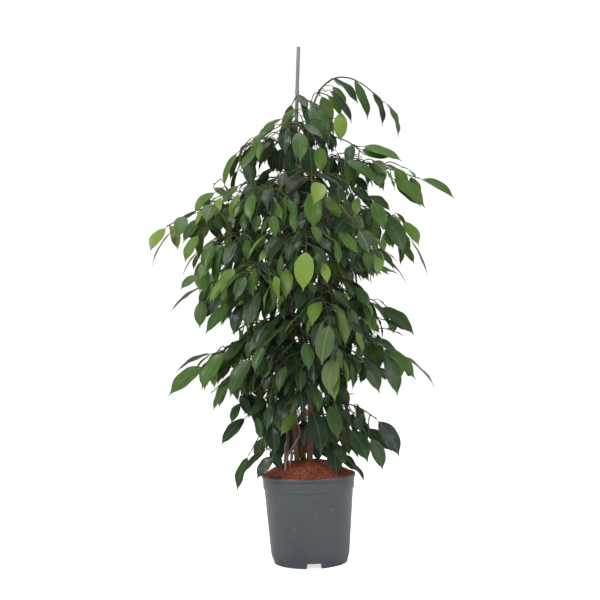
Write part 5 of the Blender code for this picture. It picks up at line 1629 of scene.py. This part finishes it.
def buildFoliage():
    upper = makeLeafUpper(leafFinish)
    lower = makeLeafLower(leafFinish)
    wood = makeTwigWood(woodFinish)
    looks = random.Random(ageAndShadeValues["seed"])
    total = 0
    for name in branchValues:
        shape = Shape()
        for k, (path, radii) in enumerate(branchTwigs[name]):
            shownTwig(shape, path, radii, 0.0 if k == 0 else 0.25, looks)
            last = (path[-1] - path[-2]).normalized()
            shownBud(shape, path[-1], (last + up * 0.3).normalized(), looks.uniform(*budValues["length"]))
        for leaf in branchLeaves[name]:
            age = leafAgeAndShade(leaf, looks, ageAndShadeValues)
            tone = looks.uniform(-1, 1)
            points, faces, slots, along, out = bladeMesh(leaf, looks)
            shape.add(points, faces, slots, age=age, tone=tone, along=along, out=out)
            points, faces = tube(stalkPath(leaf), bladeValues["stalkRadii"], 6)
            shape.add(points, faces, 2, age=0.80)
            total += 1
        makePiece(name.replace("branch", "foliage"), shape, [upper, lower, wood], [name], sharp=75)
    print("foliage:", total, "leaves")


buildFoliage()


# Woody stems

stemLooks = {
    "sides": 14,
    "rings": 9,
    "knotSpacing": 0.046,
    "knotSwell": 0.10,
    "knotWidth": 0.10,  # of the spacing
    "roughness": 0.035,
    "seed": 3,
}


def buildStems(values):
    oldBark = makeStemBark("stemBark", woodFinish["barkRed"], woodFinish["barkGrey"], woodFinish["barkDark"])
    thinBark = makeStemBark("thinStemBark", woodFinish["thinRed"], woodFinish["thinGrey"], woodFinish["thinDark"])
    chance = random.Random(values["seed"])
    for name in stemValues:
        line, radii = stemLine(name)
        count = values["rings"] * (len(line) - 1) + 1
        path = smoothPath(line, count)
        sizes = []
        travelled = 0.0
        for i, point in enumerate(path):
            share = i / (count - 1) * (len(line) - 1)
            k = min(int(share), len(line) - 2)
            size = radii[k] + (radii[k + 1] - radii[k]) * (share - k)
            travelled += (point - path[i - 1]).length if i else 0.0
            beat = (travelled % values["knotSpacing"]) / values["knotSpacing"]
            swell = values["knotSwell"] * math.exp(-((beat - 0.5) / values["knotWidth"]) ** 2)
            sizes.append(size * (1 + swell + values["roughness"] * chance.uniform(-1, 1)))
        shape = Shape()
        shape.add(*tube(path, sizes, values["sides"]))
        bark = thinBark if name == "stem_thin" else oldBark
        makePiece(name.replace("stem_", "woodyStem_"), shape, [bark], [name])


buildStems(stemLooks)
print("stems ready")


# Nursery pot

potValues = {
    "segments": 144,
    # radius and height: the outside from the foot up, over the lip, and down the inside to the floor
    "profile": (
        (0.0800, 0.0), (0.0815, 0.0), (0.0820, 0.0005), (0.0829, 0.0040), (0.0843, 0.0095), (0.0856, 0.0145),
        (0.0865, 0.0178), (0.0870, 0.0205), (0.0884, 0.0360), (0.0905, 0.0600), (0.0930, 0.0890),
        (0.0955, 0.1180), (0.0977, 0.1440), (0.0989, 0.1580), (0.0991, 0.1598), (0.0997, 0.1606),
        (0.1010, 0.1612), (0.1014, 0.1622), (0.1017, 0.1700), (0.1021, 0.1800), (0.1022, 0.1838),
        (0.1021, 0.1846), (0.1026, 0.1850), (0.1040, 0.1853), (0.1047, 0.1860), (0.1050, 0.1876),
        (0.1050, 0.1902), (0.1047, 0.1918), (0.1041, 0.1927), (0.1033, 0.1930), (0.1025, 0.1927),
        (0.1018, 0.1917), (0.1010, 0.1893), (0.1000, 0.1865), (0.0978, 0.1620), (0.0915, 0.0950),
        (0.0846, 0.0210), (0.0835, 0.0170), (0.0810, 0.0142), (0.0780, 0.0136),
    ),
    "floor": (0.0120, 0.0136),  # underside and top of the floor
    "skirt": ((0.0772, 0.0120), (0.0776, 0.0112), (0.0794, 0.0004)),
    "notches": 4,
    "notchTurn": math.radians(-85),
    "notchWidth": (0.033, 0.030),  # at the ground and at its top
    "notchHeight": 0.0113,
    "notchRound": 0.0025,
    "notchReach": (0.071, 0.094),  # from the pot's axis
    "notchBelow": -0.004,
    "drains": 8,
    "drainRadius": 0.005,
    "drainCircle": 0.048,
    "drainCut": (0.002, 0.006),  # how far below the floor it starts, and how long it is
}

potFinish = {
    "colour": (0.082, 0.096, 0.114),
    "dark": (0.068, 0.080, 0.096),
    "worn": (0.122, 0.134, 0.148),
    "dust": (0.165, 0.088, 0.062),  # earth that clings to the lip
    "speck": (0.52, 0.52, 0.50),
    "roughness": (0.30, 0.42),
}


def makePotPlastic(values):
    material, tree, shader, coords = startMaterial("pottedSlatePlastic", Specular_IOR_Level=0.6)
    clouds = mottleMask(tree, coords, 13.0, 0.36, 0.64)
    colour = mixColour(tree, clouds, values["dark"], values["colour"])
    flat = addNode(tree, "Mapping", {"Vector": coords, "Scale": (1.0, 1.0, 7.0)}).outputs[0]
    scuffs = mottleMask(tree, flat, 42.0, 0.58, 0.80)
    colour = stained(tree, colour, scuffs, 0.45, values["worn"])
    height = addNode(tree, "SeparateXYZ", {0: coords}).outputs[2]
    lip = spread(tree, height, 0.1835, 0.1915)
    patches = mottleMask(tree, coords, 70.0, 0.34, 0.60)
    earth = mathNode(tree, "MULTIPLY", lip, mathNode(tree, "MULTIPLY", patches, 0.62))
    colour = mixColour(tree, earth, colour, values["dust"])
    specks = speckMask(tree, coords, 150.0, 0.30, 0.012)
    colour = stained(tree, colour, specks, 0.75, values["speck"])
    grain = addNode(tree, "TexNoise", {"Vector": coords, "Scale": 1500.0, "Detail": 2.0}).outputs["Fac"]
    waves = addNode(tree, "TexNoise", {"Vector": coords, "Scale": 9.0, "Detail": 1.0}).outputs["Fac"]
    relief = mathNode(tree, "ADD", mathNode(tree, "MULTIPLY", grain, 0.03), waves)
    finishMaterial(tree, shader, colour, clouds, values["roughness"], relief, 0.0016, 0.6)
    return material


def notchCutter(values, turn):
    # a wedge with rounded upper corners, pushed through the skirt
    wide, narrow = (w / 2 for w in values["notchWidth"])
    high = values["notchHeight"]
    curve = values["notchRound"]
    outline = [(-wide, values["notchBelow"]), (wide, values["notchBelow"])]
    for sign in (1, -1):
        steps = range(5) if sign > 0 else range(4, -1, -1)
        for k in steps:
            bend = math.pi / 2 * k / 4
            outline.append((sign * (narrow - curve + curve * math.cos(bend)), high - curve + curve * math.sin(bend)))
    out = level(turn)
    aside = up.cross(out)
    count = len(outline)
    points = [out * reach + aside * x + up * z for reach in values["notchReach"] for x, z in outline]
    faces = [tuple(reversed(range(count))), tuple(range(count, 2 * count))]
    faces += [(k, (k + 1) % count, count + (k + 1) % count, count + k) for k in range(count)]
    return points, faces


def buildPot(values):
    low, high = values["floor"]
    profile = [(0, low), *values["skirt"], *values["profile"], (0, high)]
    points, faces = lathe(profile, values["segments"])
    cutters = []
    for k in range(values["notches"]):
        cutters.append(notchCutter(values, values["notchTurn"] + 2 * math.pi * k / values["notches"]))
    below, long = values["drainCut"]
    for k in range(values["drains"]):
        turn = 2 * math.pi * (k + 0.5) / values["drains"]
        foot = level(turn) * values["drainCircle"] + up * (low - below)
        cutters.append(tube([foot, foot + up * long], [values["drainRadius"]] * 2, 24))
    mesh = cutAway("nurseryPot", points, faces, cutters)
    mesh.materials.clear()
    mesh.materials.append(makePotPlastic(potFinish))
    mesh.shade_smooth()
    mesh.set_sharp_from_angle(angle=math.radians(38))
    registerPiece("nurseryPot", mesh, ["pot"])


buildPot(potValues)
print("pot ready")


# Potting soil: a lumpy crown with fibres and crumbs lying on it

soilValues = {
    "edge": 0.0992,
    "edgeHeight": 0.189,
    "crownHeight": 0.221,
    "rings": 44,
    "segments": 132,
    "lumps": (58.0, 0.0026),  # how many to a metre, and how high
    "grit": (330.0, 0.0009),
    "wall": ((0.0845, 0.0205), (0.0780, 0.0150)),
    "floor": 0.0146,
    "fibres": 900,
    "fibreSteps": 6,
    "fibreLength": (0.007, 0.030),
    "fibreRadius": (0.00020, 0.00048),
    "fibreLift": (0.0002, 0.0022),
    "fibreReach": 0.985,  # of the edge
    "fibreTone": (0.50, 0.24),
    "looseShare": 0.22,
    "looseLift": (0.001, 0.006),
    "crumbs": 420,
    "crumbSize": (0.0008, 0.0026),
    "crumbReach": 0.97,
    "crumbTone": (0.35, 0.28),
    "seed": 17,
}

soilFinish = {
    "dark": (0.060, 0.022, 0.015),
    "body": (0.370, 0.080, 0.046),
    "bright": (0.640, 0.190, 0.100),
    "fibreDark": (0.160, 0.046, 0.028),
    "fibreBody": (0.520, 0.155, 0.084),
    "fibrePale": (0.700, 0.370, 0.240),
}


def makeSoilEarth(values):
    material, tree, shader, coords = startMaterial("coirEarth", Specular_IOR_Level=0.2)
    lumps = mottleMask(tree, coords, 90.0, 0.30, 0.66)
    grit = mottleMask(tree, coords, 420.0, 0.34, 0.66)
    colour = colourRamp(tree, mathNode(tree, "ADD", mathNode(tree, "MULTIPLY", lumps, 0.55),
                                       mathNode(tree, "MULTIPLY", grit, 0.45)),
                        [(0.0, values["dark"]), (0.45, values["body"]), (1.0, values["bright"])])
    finishMaterial(tree, shader, colour, grit, (0.86, 0.98), mathNode(tree, "ADD", lumps, grit), 0.0020, 0.9)
    return material


def makeSoilFibre(values):
    material, tree, shader, coords = startMaterial("coirFibre", Specular_IOR_Level=0.25)
    tone = attribute(tree, "tone")
    grain = mottleMask(tree, coords, 300.0, 0.35, 0.65)
    shifted = mathNode(tree, "ADD", tone, mathNode(tree, "MULTIPLY", grain, 0.16), clamp=True)
    colour = colourRamp(tree, shifted, [(0.0, values["fibreDark"]), (0.55, values["fibreBody"]),
                                        (1.0, values["fibrePale"])])
    finishMaterial(tree, shader, colour, grain, (0.70, 0.90), grain, 0.0003, 0.5)
    return material


def soilSurface(x, y):
    values = soilValues
    share = min(math.hypot(x, y) / values["edge"], 1)
    height = values["edgeHeight"] + (values["crownHeight"] - values["edgeHeight"]) * (1 - share ** 2.4)
    for scale, size in (values["lumps"], values["grit"]):
        height += size * noise.fractal(Vector((x, y, 0.37)) * scale, 0.9, 2.1, 3)
    return height


def crumbMesh(centre, size, chance):
    # an uneven twelve-cornered crumb
    golden = (1 + math.sqrt(5)) / 2
    corners = []
    for a in (-1, 1):
        for b in (-golden, golden):
            corners += [(0, a, b), (a, b, 0), (b, 0, a)]
    stretch = [size * chance.uniform(0.5, 1.0), size * chance.uniform(0.4, 0.8), size * chance.uniform(0.3, 0.6)]
    turn = Matrix.Rotation(chance.uniform(0, 6.28), 3, "Z") @ Matrix.Rotation(chance.uniform(-0.6, 0.6), 3, "X")
    points = []
    for corner in corners:
        rough = chance.uniform(0.75, 1.15) / golden
        points.append(centre + turn @ Vector([c * w * rough for c, w in zip(corner, stretch)]))
    hull = bmesh.new()
    for point in points:
        hull.verts.new(point)
    bmesh.ops.convex_hull(hull, input=hull.verts[:])
    hull.verts.ensure_lookup_table()
    hull.verts.index_update()
    found = [vert.co.copy() for vert in hull.verts], [tuple(v.index for v in face.verts) for face in hull.faces]
    hull.free()
    return found


def fibrePath(values, chance):
    # one strand lying over the lumps, with now and then a loose end
    reach = values["edge"] * values["fibreReach"]
    radius = reach * math.sqrt(chance.random())
    turn = chance.uniform(0, 2 * math.pi)
    x, y = radius * math.cos(turn), radius * math.sin(turn)
    way = chance.uniform(0, 2 * math.pi)
    bend = chance.gauss(0, 1.0)
    length = chance.uniform(*values["fibreLength"])
    lift = chance.uniform(*values["fibreLift"])
    loose = chance.uniform(*values["looseLift"]) if chance.random() < values["looseShare"] else 0.0
    path = []
    steps = values["fibreSteps"]
    step = length / steps
    for k in range(steps + 1):
        share = k / steps
        height = soilSurface(x, y) + lift * math.sin(math.pi * share) + loose * share ** 2 - 0.0003
        path.append(Vector((x, y, height)))
        x += step * math.cos(way + bend * share)
        y += step * math.sin(way + bend * share)
        if math.hypot(x, y) > reach:
            pull = reach / math.hypot(x, y)
            x, y = x * pull, y * pull
    return path


def buildSoil(values):
    segments = values["segments"]
    shape = Shape()
    points = [Vector((0, 0, soilSurface(0, 0)))]
    for i in range(1, values["rings"] + 1):
        radius = values["edge"] * i / values["rings"]
        for k in range(segments):
            turn = 2 * math.pi * k / segments
            x, y = radius * math.cos(turn), radius * math.sin(turn)
            points.append(Vector((x, y, soilSurface(x, y))))
    for radius, height in values["wall"]:
        for k in range(segments):
            turn = 2 * math.pi * k / segments
            points.append(Vector((radius * math.cos(turn), radius * math.sin(turn), height)))
    points.append(Vector((0, 0, values["floor"])))
    rings = values["rings"] + len(values["wall"])
    faces = []
    for k in range(segments):
        n = (k + 1) % segments
        faces.append((0, 1 + k, 1 + n))
        for i in range(rings - 1):
            inner, outer = 1 + i * segments, 1 + (i + 1) * segments
            faces.append((inner + k, outer + k, outer + n, inner + n))
        last = 1 + (rings - 1) * segments
        faces.append((last + k, len(points) - 1, last + n))
    shape.add(points, faces, 0)
    chance = random.Random(values["seed"])
    for _ in range(values["fibres"]):
        path = fibrePath(values, chance)
        thick = chance.uniform(*values["fibreRadius"])
        fibre = tube(path, [thick, thick * 0.6], 4)
        shape.add(*fibre, 1, tone=min(max(chance.gauss(*values["fibreTone"]), 0.0), 1.0))
    for _ in range(values["crumbs"]):
        radius = values["edge"] * values["crumbReach"] * math.sqrt(chance.random())
        turn = chance.uniform(0, 2 * math.pi)
        x, y = radius * math.cos(turn), radius * math.sin(turn)
        size = chance.uniform(*values["crumbSize"])
        centre = Vector((x, y, soilSurface(x, y) + size * 0.15))
        shape.add(*crumbMesh(centre, size, chance), 1, tone=min(max(chance.gauss(*values["crumbTone"]), 0.0), 1.0))
    makePiece("pottingSoil", shape, [makeSoilEarth(soilFinish), makeSoilFibre(soilFinish)], ["soil"])


buildSoil(soilValues)
print("soil ready")


# Bamboo cane

caneValues = {
    "radii": (0.0054, 0.0041),
    "knotSpacing": 0.168,
    "topKnot": 0.103,  # from the cane's top down to its first knot
    "lowestKnot": 0.02,
    "knotRoom": 0.011,
    # distance from a knot's middle, and share of the cane's radius
    "knot": ((-0.0090, 1.0), (-0.0050, 1.03), (-0.0026, 1.10), (-0.0012, 1.21), (0.0, 1.24), (0.0009, 1.17),
             (0.0014, 1.03), (0.0020, 1.10), (0.0030, 1.13), (0.0042, 1.06), (0.0070, 1.0)),
    "ringShare": 1.08,  # wider than this is the pale ring
    "scar": 0.0014,  # the dark line in it
    "sides": 20,
    "step": 0.014,
    "uneven": 0.012,
    "pith": 0.42,  # share of the radius that is hollow at the cut top
    "seed": 23,
}

caneFinish = {
    "high": (0.285, 0.262, 0.262),  # greyish, a little mauve
    "low": (0.330, 0.238, 0.190),  # pinkish tan
    "streak": (0.165, 0.140, 0.132),
    "knot": (0.400, 0.365, 0.340),
    # dark serves the stains, the line in each knot, and the painted shade in the hollow top
    "dark": (0.075, 0.060, 0.055),
}


def makeBamboo(values):
    material, tree, shader, coords = startMaterial("bambooSkin", Specular_IOR_Level=0.45)
    height = addNode(tree, "SeparateXYZ", {0: coords}).outputs[2]
    body = mixColour(tree, spread(tree, height, 0.45, 0.98), values["low"], values["high"])
    long = addNode(tree, "Mapping", {"Vector": coords, "Scale": (1.0, 1.0, 0.035)}).outputs[0]
    streaks = mottleMask(tree, long, 520.0, 0.42, 0.70)
    colour = stained(tree, body, streaks, 0.45, values["streak"])
    stains = mottleMask(tree, coords, 46.0, 0.56, 0.74)
    colour = stained(tree, colour, stains, 0.35, values["dark"])
    ring = attribute(tree, "age")
    colour = stained(tree, colour, ring, 0.70, values["knot"])
    # the out mark: the dark line in each knot, and painted shade in the hollow of the cut top
    scar = attribute(tree, "out")
    colour = stained(tree, colour, scar, 0.80, values["dark"])
    finishMaterial(tree, shader, colour, streaks, (0.42, 0.62), streaks, 0.0003, 0.6)
    return material


def buildCane(values):
    chance = random.Random(values["seed"])
    length = (caneTop - caneFoot).length
    along = (caneTop - caneFoot) / length
    knots = []
    place = length - values["topKnot"]
    while place > values["lowestKnot"]:
        knots.append(place)
        place -= values["knotSpacing"]
    stops = {k * values["step"] for k in range(int(length / values["step"]))} | {length - 0.0006}
    stops = {stop for stop in stops if all(abs(stop - knot) > values["knotRoom"] for knot in knots)}
    marks = {stop: (1.0, 0.0, 0.0) for stop in stops}
    for knot in knots:
        for away, swell in values["knot"]:
            ring = 1.0 if swell > values["ringShare"] else 0.0
            marks[knot + away] = (swell, ring, 1.0 if away == values["scar"] else 0.0)
    places = sorted(marks)
    path, radii, rings, scarsAndHollowShade = [], [], [], []
    for place in places:
        swell, ring, scar = marks[place]
        radius = values["radii"][0] + (values["radii"][1] - values["radii"][0]) * place / length
        path.append(caneFoot + along * place)
        radii.append(radius * swell * (1 + values["uneven"] * chance.uniform(-1, 1)))
        rings.append(ring)
        scarsAndHollowShade.append(scar)
    # the cut top is a little rounded, with the hollow pith in its middle; the pith's walls and floor are painted dark,
    # as painted shade in the hollow
    rim = values["radii"][1]
    for away, share in ((0.0, 0.90), (0.0, values["pith"]), (-0.0040, values["pith"] * 0.9)):
        path.append(caneTop + along * away)
        radii.append(rim * share)
        rings.append(1.0 if away == 0.0 else 0.0)
        scarsAndHollowShade.append(0.0 if share > 0.8 else 1.0)
    sides = values["sides"]
    across = along.orthogonal().normalized()
    other = along.cross(across)
    points = []
    for centre, radius in zip(path, radii):
        for k in range(sides):
            turn = 2 * math.pi * k / sides
            points.append(centre + (across * math.cos(turn) + other * math.sin(turn)) * radius)
    faces = [tuple(reversed(range(sides)))]
    for i in range(len(path) - 1):
        low, high = i * sides, (i + 1) * sides
        faces += [(low + k, low + (k + 1) % sides, high + (k + 1) % sides, high + k) for k in range(sides)]
    faces.append(tuple(range(len(points) - sides, len(points))))
    shape = Shape()
    ringMarks, scarAndHollowShadeMarks = ([value for value in row for _ in range(sides)] for row in (rings, scarsAndHollowShade))
    shape.add(points, faces, age=ringMarks, out=scarAndHollowShadeMarks)
    makePiece("bambooCane", shape, [makeBamboo(caneFinish)], ["cane"], sharp=50)


buildCane(caneValues)
print("cane ready")


# The dead, folded leaf that hangs by the thin stem

deadValues = {
    "root": (-0.0285, -0.0468, 0.2635),
    "base": (-0.0258, -0.0510, 0.2520),
    "heading": math.radians(204),
    "pitches": (math.radians(58), math.radians(80)),
    "roll": 1.15,
    "length": 0.048,
    "halfWidth": 0.16,
    "fold": 0.95,
    "lipDown": 0.20,
    "ripple": 0.22,
    "seed": 41,
}

deadFinish = {
    "body": (0.150, 0.134, 0.106),
    "pale": (0.300, 0.290, 0.262),
    "dark": (0.058, 0.050, 0.038),
}


def makeDeadLeaf(values):
    material, tree, shader, coords = startMaterial("witheredLeaf", Specular_IOR_Level=0.25)
    patches = mottleMask(tree, coords, 75.0, 0.36, 0.64)
    fine = mottleMask(tree, coords, 260.0, 0.40, 0.68)
    colour = mixColour(tree, patches, values["body"], values["pale"])
    colour = stained(tree, colour, fine, 0.6, values["dark"])
    veins = leafVeins(tree, 0.0006, 0.0036)
    colour = stained(tree, colour, veins["Midrib"], 0.6, values["pale"])
    finishMaterial(tree, shader, colour, fine, (0.72, 0.92), mathNode(tree, "ADD", veins["Height"], fine), 0.0004, 0.8)
    return material


def buildDeadLeaf(values):
    chance = random.Random(values["seed"])
    base = Vector(values["base"])
    root = Vector(values["root"])
    leaf = {"root": root, "way": (base - root).normalized(), "base": base, "heading": values["heading"],
            "pitches": values["pitches"], "length": values["length"],
            "side": leafSide(values["heading"], values["pitches"], values["roll"])}
    blade = {**bladeValues, **{key: values[key] for key in ("halfWidth", "fold", "lipDown", "ripple")}}
    points, faces, _, along, out = bladeMesh(leaf, chance, blade)
    shape = Shape()
    shape.add(points, faces, 0, along=along, out=out)
    shape.add(*tube(stalkPath(leaf), (0.00085, 0.00060), 6), 0)
    makePiece("witheredLeaf", shape, [makeDeadLeaf(deadFinish)], sharp=75)


buildDeadLeaf(deadValues)
print("dead leaf ready")
